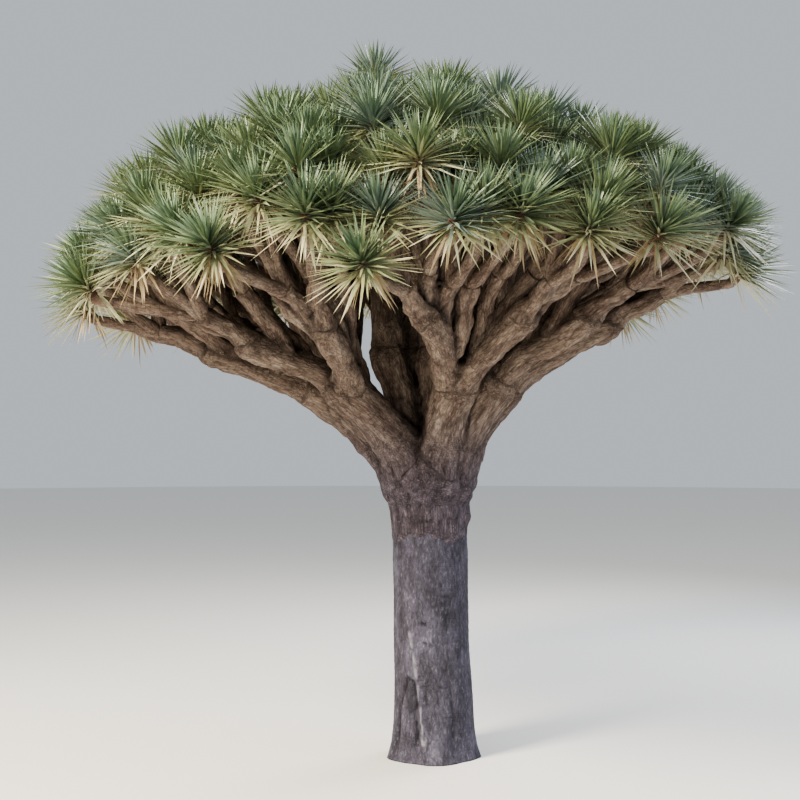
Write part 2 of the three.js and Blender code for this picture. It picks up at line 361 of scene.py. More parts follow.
def linear(colour: int) -> tuple[float, float, float, float]:
    """An sRGB hex value as the linear colour that a shader takes, by the sRGB standard's curve.

    Args:
        colour: The hex value.

    Returns:
        Red, green, blue and an opacity of 1.
    """
    parts = [(colour >> shift & 255) / 255 for shift in (16, 8, 0)]
    bent = [c / 12.92 if c <= 0.04045 else ((c + 0.055) / 1.055) ** 2.4 for c in parts]
    return (*bent, 1.0)


def add_node(
    tree: bpy.types.NodeTree,
    kind: str,
    settings: dict | None = None,
    values: dict | None = None,
    links: dict | None = None,
) -> bpy.types.Node:
    """Add a node with its settings and links.

    Args:
        tree: The node tree.
        kind: The node's type.
        settings: Its properties by name.
        values: Its unlinked input sockets by name or number.
        links: The output socket that each linked input takes.

    Returns:
        The new node.
    """
    made = tree.nodes.new(kind)
    for name, value in (settings or {}).items():
        setattr(made, name, value)
    for socket, value in (values or {}).items():
        made.inputs[socket].default_value = value
    for socket, source in (links or {}).items():
        tree.links.new(source, made.inputs[socket])
    return made


def set_ramp(ramp: bpy.types.Node, stops: Sequence[tuple[float, int]]) -> None:
    """Give a colour ramp its stops.

    Args:
        ramp: The ramp node.
        stops: The place and hex colour of each stop.
    """
    elements = ramp.color_ramp.elements
    while len(elements) < len(stops):
        elements.new(1.0)
    for element, (place, colour) in zip(elements, stops):
        element.position = place
        element.color = linear(colour)


@dataclass(frozen=True)
class Finish:
    """A finish with a name of its own."""

    name: str

    def dress(self) -> bpy.types.Material:
        """Make the finish as a material, unless that is already done.

        Returns:
            The material.
        """
        known = bpy.data.materials.get(self.name)
        if known:
            return known
        material = bpy.data.materials.new(self.name)
        material.use_nodes = True
        self.fill(material.node_tree, material.node_tree.nodes["Principled BSDF"])
        return material

    def fill(self, tree: bpy.types.NodeTree, shader: bpy.types.Node) -> None:
        """Add the nodes that make the finish.

        Args:
            tree: The material's node tree.
            shader: Its surface shader.
        """
        raise NotImplementedError


# How many finer layers each pattern has, and how strong they are
GRAIN_LAYERS = {"Detail": 8.0, "Roughness": 0.68}
PATCH_LAYERS = {"Detail": 6.0, "Roughness": 0.62}
BEND_LAYERS = {"Detail": 3.0}
WAX_LAYERS = {"Detail": 3.0, "Roughness": 0.6}


@dataclass(frozen=True)
class Bark(Finish):
    """Living bark: mottled patches, finer grain, rings of leaf scars and a dry, matt skin.

    The eye gets broad weathered patches a hand or more wide with a fine grain on them,
    thin dark rings where leaves once sat, dark scars, painted shade in the fissures, creases
    and crotches, and pale worn marks with painted sunlight on them. The grain of real bark
    is 1 to 3 mm. It is drawn far coarser, so that it shows from the distance of the whole
    tree. Dry bark is matt: rough, and half as glossy as a plastic.
    """

    patch: Sequence[tuple[float, int]] = ()
    old_patch: Sequence[tuple[float, int]] = ()
    # The colour of painted shade in fissures, creases and crotches, and of dark scars
    painted_shade_and_scar: int = 0x2A201C
    # The pale of worn marks, with painted sunlight on them
    worn_with_painted_sunlight: int = 0xCFCBC6
    patch_mm: float = 180
    grain_mm: float = 22
    crack_mm: float = 60
    crack_bends: float = 1.5
    crack_width: float = 0.10
    crack_shade: float = 0.35
    fleck: int = 0xA39A90
    fleck_band: tuple[float, float] = (0.56, 0.72)
    fleck_share: float = 0.45
    ring_share: float = 0.15
    ring_shade: float = 0.45
    bump_mm: float = 6.0
    bump_strength: float = 0.9
    crack_groove: float = -0.35
    ring_groove: float = -0.30
    grain_share: float = 0.42
    roughness: float = 0.88
    gloss: float = 0.25

    def fill(self, tree: bpy.types.NodeTree, shader: bpy.types.Node) -> None:
        """Add the nodes that make the bark.

        Args:
            tree: The material's node tree.
            shader: Its surface shader.
        """
        grown = {"attribute_name": "grown"}
        place = add_node(tree, "ShaderNodeAttribute", grown).outputs["Vector"]
        grain = add_node(
            tree,
            "ShaderNodeTexNoise",
            {},
            {"Scale": MM_IN_METRE / self.grain_mm, **GRAIN_LAYERS},
            {"Vector": place},
        ).outputs["Fac"]
        ring = self.rings(tree)
        crack = self.cracks(tree, place)
        tree.links.new(self.tone(tree, place, grain, ring, crack), shader.inputs["Base Color"])
        tree.links.new(self.relief(tree, grain, ring, crack), shader.inputs["Normal"])
        shader.inputs["Roughness"].default_value = self.roughness
        shader.inputs["Specular IOR Level"].default_value = self.gloss

    def rings(self, tree: bpy.types.NodeTree) -> bpy.types.NodeSocket:
        """The thin rings of leaf scars, from the numbers kept on the mesh.

        Args:
            tree: The material's node tree.

        Returns:
            1 in the middle of a ring that shows, falling to 0 beside it.
        """
        phase = add_node(tree, "ShaderNodeAttribute", {"attribute_name": "ring"})
        # 0 in the middle of each ring, and 0.5 halfway to the next
        away = add_node(
            tree,
            "ShaderNodeMath",
            {"operation": "PINGPONG"},
            {1: 0.5},
            {0: phase.outputs["Fac"]},
        )
        crease = add_node(
            tree,
            "ShaderNodeMapRange",
            {"interpolation_type": "SMOOTHSTEP"},
            {"From Max": self.ring_share, "To Min": 1.0, "To Max": 0.0},
            {"Value": away.outputs["Value"]},
        )
        ringed = add_node(tree, "ShaderNodeAttribute", {"attribute_name": "ringed"})
        return add_node(
            tree,
            "ShaderNodeMath",
            {"operation": "MULTIPLY"},
            {},
            {0: crease.outputs["Result"], 1: ringed.outputs["Fac"]},
        ).outputs["Value"]

    def cracks(
        self, tree: bpy.types.NodeTree, place: bpy.types.NodeSocket
    ) -> bpy.types.NodeSocket:
        """Fissures between plates of bark, bent out of true so that no two plates match.

        Args:
            tree: The material's node tree.
            place: The place on the limb, drawn in along its grain.

        Returns:
            1 in a fissure, falling to 0 on the plate beside it.
        """
        bend = add_node(
            tree,
            "ShaderNodeTexNoise",
            {},
            {"Scale": MM_IN_METRE * self.crack_bends / self.crack_mm, **BEND_LAYERS},
            {"Vector": place},
        )
        bent = add_node(
            tree,
            "ShaderNodeVectorMath",
            {"operation": "MULTIPLY_ADD"},
            {1: (self.crack_mm / MM_IN_METRE,) * 3},
            {0: bend.outputs["Color"], 2: place},
        )
        plates = add_node(
            tree,
            "ShaderNodeTexVoronoi",
            {"feature": "DISTANCE_TO_EDGE"},
            {"Scale": MM_IN_METRE / self.crack_mm},
            {"Vector": bent.outputs["Vector"]},
        )
        return add_node(
            tree,
            "ShaderNodeMapRange",
            {},
            {"From Min": self.crack_width, "From Max": 0.0},
            {"Value": plates.outputs["Distance"]},
        ).outputs["Result"]

    def tone(
        self,
        tree: bpy.types.NodeTree,
        place: bpy.types.NodeSocket,
        grain: bpy.types.NodeSocket,
        ring: bpy.types.NodeSocket,
        crack: bpy.types.NodeSocket,
    ) -> bpy.types.NodeSocket:
        """The bark's colour.

        Args:
            tree: The material's node tree.
            place: The place on the limb, drawn in along its grain.
            grain: The fine grain.
            ring: The rings of leaf scars.
            crack: The fissures.

        Returns:
            The colour.
        """
        patches = add_node(
            tree,
            "ShaderNodeTexNoise",
            {},
            {"Scale": MM_IN_METRE / self.patch_mm, **PATCH_LAYERS},
            {"Vector": place},
        )
        mottle = add_node(
            tree,
            "ShaderNodeMix",
            {},
            {"Factor": self.grain_share},
            {"A": patches.outputs["Fac"], "B": grain},
        ).outputs["Result"]
        ramp = add_node(tree, "ShaderNodeValToRGB", {}, {}, {"Fac": mottle})
        set_ramp(ramp, self.patch)
        tone = ramp.outputs["Color"]
        if self.old_patch:
            old = add_node(tree, "ShaderNodeValToRGB", {}, {}, {"Fac": mottle})
            set_ramp(old, self.old_patch)
            age = add_node(tree, "ShaderNodeAttribute", {"attribute_name": "age"})
            links = {"Factor": age.outputs["Fac"], "A": tone, "B": old.outputs["Color"]}
            blend = add_node(tree, "ShaderNodeMix", {"data_type": "RGBA"}, {}, links)
            tone = blend.outputs["Result"]
        painted_shade_and_scar = add_node(tree, "ShaderNodeAttribute", {"attribute_name": "painted_shade_and_scar"}).outputs["Fac"]
        # Fissures and the darkening kept on the mesh get painted shade, with dark scars among it;
        # where those numbers fall below 0, pale worn marks get painted sunlight
        # What each wash follows, where it starts and is fullest, its most, and its colour
        washes = (
            (grain, *self.fleck_band, self.fleck_share, self.fleck),
            (crack, 0.0, 1.0, self.crack_shade, self.painted_shade_and_scar),
            (painted_shade_and_scar, 0.0, 1.0, 1.0, self.painted_shade_and_scar),
            (painted_shade_and_scar, 0.0, -1.0, 1.0, self.worn_with_painted_sunlight),
            (ring, 0.0, 1.0, self.ring_shade, self.painted_shade_and_scar),
        )
        for follows, start, full, most, colour in washes:
            spans = {"From Min": start, "From Max": full, "To Max": most}
            share = add_node(tree, "ShaderNodeMapRange", {}, spans, {"Value": follows})
            links = {"Factor": share.outputs["Result"], "A": tone}
            over = {"B": linear(colour)}
            blend = add_node(tree, "ShaderNodeMix", {"data_type": "RGBA"}, over, links)
            tone = blend.outputs["Result"]
        return tone

    def relief(
        self,
        tree: bpy.types.NodeTree,
        grain: bpy.types.NodeSocket,
        ring: bpy.types.NodeSocket,
        crack: bpy.types.NodeSocket,
    ) -> bpy.types.NodeSocket:
        """The relief that is too fine for the mesh: grain, fissures and rings.

        Args:
            tree: The material's node tree.
            grain: The fine grain.
            ring: The rings of leaf scars.
            crack: The fissures.

        Returns:
            The bent surface direction.
        """
        height = grain
        for groove, depth in ((crack, self.crack_groove), (ring, self.ring_groove)):
            height = add_node(
                tree,
                "ShaderNodeMath",
                {"operation": "MULTIPLY_ADD"},
                {1: depth},
                {0: groove, 2: height},
            ).outputs["Value"]
        values = {"Strength": self.bump_strength, "Distance": self.bump_mm / MM_IN_METRE}
        return add_node(tree, "ShaderNodeBump", {}, values, {"Height": height}).outputs["Normal"]


@dataclass(frozen=True)
class Leaf(Finish):
    """A stiff, fleshy sword leaf under a thin dull wax.

    The eye gets a soft broad sheen on the upper side, and places where the wax is thicker,
    a little lighter than the leaf. Real wax varies over a few millimetres. It is drawn far
    coarser, so that it shows from the distance of the whole tree. Leaf wax has an IOR near
    the shader's own 1.5, which stays.
    """

    colour: int = 0x5F7A55
    waxy: int = 0x7D9470
    wax_mm: float = 45
    bump_mm: float = 1.0
    bump_strength: float = 0.25
    roughness: float = 0.42
    sheen: float = 0.08

    def fill(self, tree: bpy.types.NodeTree, shader: bpy.types.Node) -> None:
        """Add the nodes that make the leaf.

        Args:
            tree: The material's node tree.
            shader: Its surface shader.
        """
        place = add_node(tree, "ShaderNodeTexCoord").outputs["Object"]
        wax = add_node(
            tree,
            "ShaderNodeTexNoise",
            {},
            {"Scale": MM_IN_METRE / self.wax_mm, **WAX_LAYERS},
            {"Vector": place},
        )
        tone = add_node(
            tree,
            "ShaderNodeMix",
            {"data_type": "RGBA"},
            {"A": linear(self.colour), "B": linear(self.waxy)},
            {"Factor": wax.outputs["Fac"]},
        )
        bump = add_node(
            tree,
            "ShaderNodeBump",
            {},
            {"Strength": self.bump_strength, "Distance": self.bump_mm / MM_IN_METRE},
            {"Height": wax.outputs["Fac"]},
        )
        tree.links.new(tone.outputs["Result"], shader.inputs["Base Color"])
        tree.links.new(bump.outputs["Normal"], shader.inputs["Normal"])
        shader.inputs["Roughness"].default_value = self.roughness
        shader.inputs["Sheen Weight"].default_value = self.sheen


@dataclass(frozen=True)
class Plaster(Finish):
    """Smooth painted plaster for the studio floor: pale, matt and even."""

    colour: int = 0xE9E8E4
    roughness: float = 0.9

    def fill(self, tree: bpy.types.NodeTree, shader: bpy.types.Node) -> None:
        """Add the nodes that make the plaster.

        Args:
            tree: The material's node tree.
            shader: Its surface shader.
        """
        shader.inputs["Base Color"].default_value = linear(self.colour)
        shader.inputs["Roughness"].default_value = self.roughness


# Old bark near the ground: thin, smooth and grey, with few and faint fissures
TRUNK_BARK = Bark(
    name="dragon_tree_bark_smooth",
    patch=((0.32, 0x27262E), (0.45, 0x42404A), (0.56, 0x585664), (0.70, 0x7F7C8A)),
    # Painted shade with dark scars, and the pale of worn marks with painted sunlight
    painted_shade_and_scar=0x19161A,
    worn_with_painted_sunlight=0xAEABB4,
    patch_mm=120,
    grain_mm=22,
    crack_mm=70,
    crack_width=0.05,
    crack_shade=0.16,
    fleck=0x8C8995,
    ring_shade=0.16,
    bump_mm=9.0,
    roughness=0.82,
)
# Bark of the goblet and boughs: thicker, corky and warm grey-brown, greyer where it is old
BOUGH_BARK = Bark(
    name="dragon_tree_bark_corky",
    patch=((0.32, 0x3E312C), (0.44, 0x66564D), (0.56, 0x86776B), (0.70, 0xAC9F93)),
    old_patch=((0.32, 0x302B30), (0.45, 0x4D464E), (0.57, 0x675F69), (0.70, 0x8C838E)),
    # Painted shade in fissures, wrinkles and crotches
    painted_shade_and_scar=0x1D1514,
    patch_mm=90,
    grain_mm=14,
    crack_mm=34,
    crack_shade=0.4,
    fleck=0xB3A699,
    ring_shade=0.2,
    bump_mm=11.0,
    roughness=0.9,
)
# Young bark under the leaves: papery, reddish brown, ringed by fresh leaf scars
NECK_BARK = Bark(
    name="dragon_tree_bark_young",
    patch=((0.32, 0x3E2B25), (0.47, 0x62483D), (0.60, 0x7C5E50), (0.75, 0x988072)),
    old_patch=((0.32, 0x3E312C), (0.44, 0x66564D), (0.56, 0x86776B), (0.70, 0xAC9F93)),
    # Painted shade in fissures
    painted_shade_and_scar=0x26160F,
    patch_mm=80,
    grain_mm=14,
    crack_mm=40,
    crack_shade=0.15,
    fleck=0xA38A74,
    bump_mm=4.0,
    roughness=0.85,
)


class LeafAge(Enum):
    """How old a leaf is, from the heart of the rosette to the dry skirt under it.

    The eye gets a bluish heart, a green or greyish green body, a yellower rim, and under
    it a straw and brown skirt.
    """

    HEART = Leaf("sword_leaf_young", 0x4C6350, 0x7A8E72, roughness=0.40)
    GREEN = Leaf("sword_leaf_green", 0x4F6145, 0x80916B)
    SAGE = Leaf("sword_leaf_sage", 0x53675C, 0x86978A)
    OLIVE = Leaf("sword_leaf_olive", 0x787E5C, 0xAAAC86)
    PALE = Leaf("sword_leaf_old", 0xA09F80, 0xD3CFB2, roughness=0.5)
    DRY = Leaf("sword_leaf_dry", 0x867257, 0xBDAE8D, roughness=0.75, sheen=0.0)


# The plan of the tree, by the same rule as its solids


@dataclass(frozen=True)
class Dome:
    """The crown's dome, a little left of the trunk."""

    centre_x: float = -0.20
    radius: float = 3.01
    top: float = 5.84
    slope: float = 1.05
    slope_power: float = 1.1
    rim_drop: float = 0.52
    rim_power: float = 6
    crowding: float = 0.43
    left_sag: float = 0.32
    right_lift: float = 0.09
    wander_across: float = 0.17
    wander_up: float = 0.30
    leader: int = 1
    leader_lift: float = 0.26
    leader_reach: float = 0.50
    rosettes: int = 250

    def height(self, share: float) -> float:
        """The dome's height at a share of its radius: an even slope, then a steep rim."""
        slope = self.slope * share**self.slope_power
        return self.top - slope - self.rim_drop * share**self.rim_power

    def around(self, turn: float, reach: float, height: float) -> Array:
        """A point round the crown's own axis.

        Args:
            turn: The compass turn, in radians from +X towards +Y.
            reach: The distance from the axis.
            height: The height above the ground.

        Returns:
            The point.
        """
        x = self.centre_x + reach * math.cos(turn)
        return np.array((x, reach * math.sin(turn), height))

    def sag(self, x: float) -> float:
        """How far a place on the left sinks, and one on the right rises."""
        return (self.left_sag if x < 0 else self.right_lift) * x / self.radius

    def places(self) -> list[tuple[Array, float]]:
        """Where the rosettes are: a sunflower spiral, each a little off its place.

        One rosette near the top leads, and lifts its neighbours with it.

        Returns:
            Each place, with its share of the way from the crown's top to its rim.
        """
        places, shares = [], []
        for index in range(self.rosettes):
            share = ((index + 0.5) / self.rosettes) ** self.crowding
            height = self.height(share)
            place = self.around(index * GOLDEN_TURN, self.radius * share, height)
            place[2] += self.sag(place[0]) * share**self.rim_power
            shifts = [chance(index, lot) - 0.5 for lot in (Lot.ASIDE, Lot.AHEAD, Lot.ABOVE)]
            spans = (self.wander_across, self.wander_across, self.wander_up)
            places.append(place + np.array(shifts) * spans)
            shares.append(share)
        placed = np.array(places)
        away = np.linalg.norm(placed - placed[self.leader], axis=1)
        placed[:, 2] += self.leader_lift * np.exp(-((away / self.leader_reach) ** 2))
        return list(zip(placed, shares))


@dataclass(frozen=True)
class Ring:
    """A ring of foliage: where each mass has its middle, and the hub where it branches."""

    reach: float
    hub_reach: float
    hub_height: float


class Tier(Enum):
    """The three rings of foliage, from the rim of the crown to its top."""

    OUTER = Ring(2.54, 1.74, 3.74)
    MIDDLE = Ring(1.60, 1.00, 4.13)
    INNER = Ring(0.59, 0.35, 4.58)


@dataclass(frozen=True)
class Bough:
    """One bough: its side, its compass turn, and the turns of the foliage it carries."""

    side: str
    turn: float
    outer: tuple[float, ...] = ()
    middle: tuple[float, ...] = ()
    inner: tuple[float, ...] = ()

    def masses(self) -> list[tuple[Ring, float]]:
        """The ring and the compass turn of each mass that the bough carries."""
        tiers = ((Tier.OUTER, self.outer), (Tier.MIDDLE, self.middle), (Tier.INNER, self.inner))
        return [(tier.value, turn) for tier, turns in tiers for turn in turns]


BOUGHS = (
    Bough("left", 184, outer=(166, 193), middle=(182,)),
    Bough("front_left", 226, outer=(220, 247), middle=(232,)),
    Bough("front", 297, outer=(274, 300), middle=(272,)),
    Bough("front_right", 328, outer=(325,), middle=(318,)),
    Bough("right", 5, outer=(350, 16), middle=(10,)),
    Bough("back_right", 52, outer=(42, 68)),
    Bough("back", 92, outer=(92,), middle=(66,)),
    Bough("back_left", 134, outer=(116, 141), middle=(126,)),
    Bough("top_left", 205, inner=(190,)),
    Bough("top_right", 330, inner=(315,)),
    Bough("top_back", 80, inner=(70,)),
)


# The part of a way that tells in which direction it arrives
LAST_STRETCH = np.array((0.97, 1.0))
# How far the trunk's axis has leaned along x at its goblet's rim
TRUNK_LEAN = -0.055


@dataclass(frozen=True)
class Route:
    """A way from start to goal, with a rise and a wander of its own.

    A rise below 1 keeps its height ahead of its spread. The wander is a share of its
    length, and the weave a share of the wander.
    """

    start: Array
    goal: Array
    rise: float
    wander: float
    seed: int
    weave: float = 0.7

    def points(self, at: Array) -> Array:
        """The points at some shares of the way.

        Args:
            at: The shares, from 0 to 1.

        Returns:
            One point for each share.
        """
        at = np.asarray(at, float)
        span = self.goal - self.start
        points = self.start + span * at[:, None]
        points[:, 2] = self.start[2] + span[2] * at**self.rise
        side = unit(np.cross(UP, span) + NUDGE)
        lift = unit(np.cross(span, side))
        amount = self.wander * np.linalg.norm(span)
        lots = ((side, Lot.BEND_ASIDE, Lot.WEAVE_ASIDE), (lift, Lot.BEND_UP, Lot.WEAVE_UP))
        for way, bend_lot, weave_lot in lots:
            bend = (chance(self.seed, bend_lot) - 0.5) * 2 * np.sin(math.pi * at)
            weave = (chance(self.seed, weave_lot) - 0.5) * self.weave * np.sin(2 * math.pi * at)
            points += way * (amount * (bend + weave))[:, None]
        return points

    def heading(self) -> Array:
        """The direction in which the way arrives."""
        return unit(np.diff(self.points(LAST_STRETCH), axis=0)[0])


# Where along a limb each swelling and waist has its middle, and how far it spreads
FLARE_SPAN = (0.16, 0.12)
ROOT_SPAN = (0.0, 0.08)
WAIST_SPAN = (0.42, 0.20)
KNUCKLE_SPAN = (1.0, 0.13)


@dataclass(frozen=True)
class Limb:
    """A limb with a thin root, a flare where it leaves its parent, a waist and a knuckle.

    The last four are shares of its radius.
    """

    route: Route
    base: float
    tip: float
    flare: float = 0.12
    root: float = 0.40
    waist: float = 0.10
    knuckle: float = 0.11

    def spine(self, steps: int) -> tuple[Array, Array]:
        """The limb's middle line and its radii.

        Args:
            steps: How many steps the line has.

        Returns:
            The points of the line, and the radius at each.
        """
        at = np.linspace(0, 1, steps + 1)
        swell = np.zeros(len(at))
        swellings = (
            (self.flare, FLARE_SPAN),
            (-self.root, ROOT_SPAN),
            (-self.waist, WAIST_SPAN),
            (self.knuckle, KNUCKLE_SPAN),
        )
        for height, (middle, spread) in swellings:
            swell += height * np.exp(-(((at - middle) / spread) ** 2))
        return self.route.points(at), mix(self.base, self.tip, at) * (1 + swell)


@dataclass
class Rosette:
    """A rosette of leaves, its number, how near the rim it is, and how its twig bends up to it.

    The twig arrives at the elbow along the heading, and the neck turns there to the axis.
    """

    place: Array
    index: int
    share: float
    axis: Array = field(default_factory=UP.copy)
    elbow: Array = field(default_factory=UP.copy)
    heading: Array = field(default_factory=UP.copy)


@dataclass
class Skeleton:
    """Every limb of the tree, and the rosettes that the last of them carry.

    Each kind of limb has its wood, the radii at foot and tip, and its way, the rise and
    the wander. Its seed sets its wander apart from those of other kinds.
    """

    dome: Dome = field(default_factory=Dome)
    lean: float = TRUNK_LEAN
    foot_height: float = 2.56
    rim_foot: float = 0.23
    rim_knuckle: tuple[float, float] = (0.82, 3.25)
    rim_wood: tuple[float, float] = (0.215, 0.165)
    top_foot: float = 0.09
    top_knuckle: tuple[float, float] = (0.23, 3.52)
    top_wood: tuple[float, float] = (0.165, 0.135)
    bough_way: tuple[float, float] = (0.74, 0.02)
    bough_flare: float = 0.05
    fork_wood: tuple[float, float] = (0.132, 0.088)
    fork_way: tuple[float, float] = (0.74, 0.035)
    fork_seed: int = 40
    branch_wood: tuple[float, float] = (0.086, 0.062)
    branch_way: tuple[float, float] = (0.85, 0.06)
    branch_seed: int = 100
    twig_wood: tuple[float, float] = (0.056, 0.045)
    twig_way: tuple[float, float] = (1.15, 0.05)
    twig_taper: float = -0.30
    twig_seed: int = 300
    branch_share: float = 0.5
    rosettes_per_branch: float = 2.5
    early_feet: tuple[float, ...] = (0.40, 0.62, 0.82)
    sunk: float = 0.6
    upturn: tuple[float, float] = (1.7, 0.85)
    neck: float = 0.19
    rim_share: float = 0.55
    branch_sag: float = 0.17
    left_branch_sag: float = 0.22
    sag_power: int = 4
    boughs: list[Limb] = field(default_factory=list)
    forks: list[Limb] = field(default_factory=list)
    branches: list[Limb] = field(default_factory=list)
    twigs: list[Limb] = field(default_factory=list)
    rosettes: list[Rosette] = field(default_factory=list)

    def grow(self) -> "Skeleton":
        """Grow every limb, from the boughs to the rosettes.

        Returns:
            This skeleton, grown.
        """
        masses = []
        for number, bough in enumerate(BOUGHS):
            limb = self.bough_limb(bough, number)
            self.boughs.append(limb)
            masses += [(limb, ring, math.radians(turn)) for ring, turn in bough.masses()]
        shares = self.deal_to_masses([(ring, turn) for _, ring, turn in masses])
        for number, ((limb, ring, turn), group) in enumerate(zip(masses, shares)):
            self.grow_mass(number, limb, ring, turn, group)
        return self

    def bough_limb(self, bough: Bough, number: int) -> Limb:
        """The bough from inside the trunk to its knuckle.

        Args:
            bough: Its plan.
            number: Its number, which seeds its wander.

        Returns:
            The limb.
        """
        top = bool(bough.inner)
        reach = self.top_foot if top else self.rim_foot
        knuckle_reach, knuckle_height = self.top_knuckle if top else self.rim_knuckle
        turn = math.radians(bough.turn)
        foot = np.array(
            (self.lean + reach * math.cos(turn), reach * math.sin(turn), self.foot_height)
        )
        knuckle = self.dome.around(turn, knuckle_reach, knuckle_height)
        base, tip = self.top_wood if top else self.rim_wood
        route = Route(foot, knuckle, *self.bough_way, number)
        return Limb(route, base, tip, flare=self.bough_flare, root=0.0)

    def deal_to_masses(self, plans: list[tuple[Ring, float]]) -> list[list[Rosette]]:
        """Give each rosette to the mass whose middle it is nearest to.

        Args:
            plans: The ring and turn of each mass.

        Returns:
            The rosettes of each mass.
        """
        dome = self.dome
        middles = np.array(
            [dome.around(turn, r.reach, dome.height(r.reach / dome.radius)) for r, turn in plans]
        )
        groups: list[list[Rosette]] = [[] for _ in plans]
        for index, (place, share) in enumerate(dome.places()):
            nearest = int(np.argmin(np.linalg.norm(middles - place, axis=1)))
            groups[nearest].append(Rosette(place, index, share))
        return groups

    def grow_mass(
        self, number: int, parent: Limb, ring: Ring, turn: float, group: list[Rosette]
    ) -> None:
        """Grow one mass: its fork, then its branches and their twigs.

        Args:
            number: The mass's number, which seeds the wander of its wood.
            parent: The bough that carries it.
            ring: The ring it belongs to.
            turn: Its compass turn, in radians.
            group: Its rosettes.
        """
        hub = self.dome.around(turn, ring.hub_reach, ring.hub_height)
        hub[2] += self.dome.sag(hub[0])
        start = parent.route.goal - parent.route.heading() * self.sunk * parent.tip
        route = Route(start, hub, *self.fork_way, self.fork_seed + number)
        fork = Limb(route, *self.fork_wood)
        self.forks.append(fork)
        foot = hub - fork.route.heading() * self.sunk * fork.tip
        middle = self.dome.around(turn, ring.reach, ring.hub_height)
        facing = math.atan2(middle[1] - hub[1], middle[0] - hub[0])

        def swing(rosette: Rosette) -> float:
            """How far a rosette lies to one side, seen from the hub."""
            away = rosette.place - hub
            return math.remainder(math.atan2(away[1], away[0]) - facing, 2 * math.pi)

        ordered = sorted(group, key=swing)
        count = max(1, round(len(ordered) / self.rosettes_per_branch))
        cuts = [round(cut * len(ordered) / count) for cut in range(count + 1)]
        shares = [ordered[low:high] for low, high in zip(cuts, cuts[1:])]
        shares.sort(key=lambda share: np.mean([rosette.share for rosette in share]))
        feet = fork.route.points(np.array(self.early_feet[: count - 1]))
        for low, share in zip([*feet, *[foot] * count], shares):
            self.grow_branch(low, share)

    def grow_branch(self, foot: Array, group: list[Rosette]) -> None:
        """Grow one branch and a twig to each of its rosettes.

        Args:
            foot: Where the branch is rooted.
            group: Its rosettes.
        """
        mean = np.mean([rosette.place for rosette in group], axis=0)
        parting = mix(foot, mean, self.branch_share)
        left = smooth(-parting[0] / self.dome.radius)
        sag = self.branch_sag + self.left_branch_sag * left
        parting[2] -= sag * np.mean([rosette.share for rosette in group]) ** self.sag_power
        seed = self.branch_seed + group[0].index
        branch = Limb(Route(foot, parting, *self.branch_way, seed), *self.branch_wood)
        self.branches.append(branch)
        start = parting - branch.route.heading() * self.sunk * branch.tip
        for rosette in group:
            rim = smooth((rosette.share - self.rim_share) / (1 - self.rim_share))
            upright = UP * mix(*self.upturn, rim)
            rosette.axis = unit(unit(rosette.place - start) + upright)
            rosette.elbow = rosette.place - rosette.axis * self.neck
            seed = self.twig_seed + rosette.index
            route = Route(start, rosette.elbow, *self.twig_way, seed)
            rosette.heading = route.heading()
            self.twigs.append(Limb(route, *self.twig_wood, knuckle=self.twig_taper))
            self.rosettes.append(rosette)


# Trunk


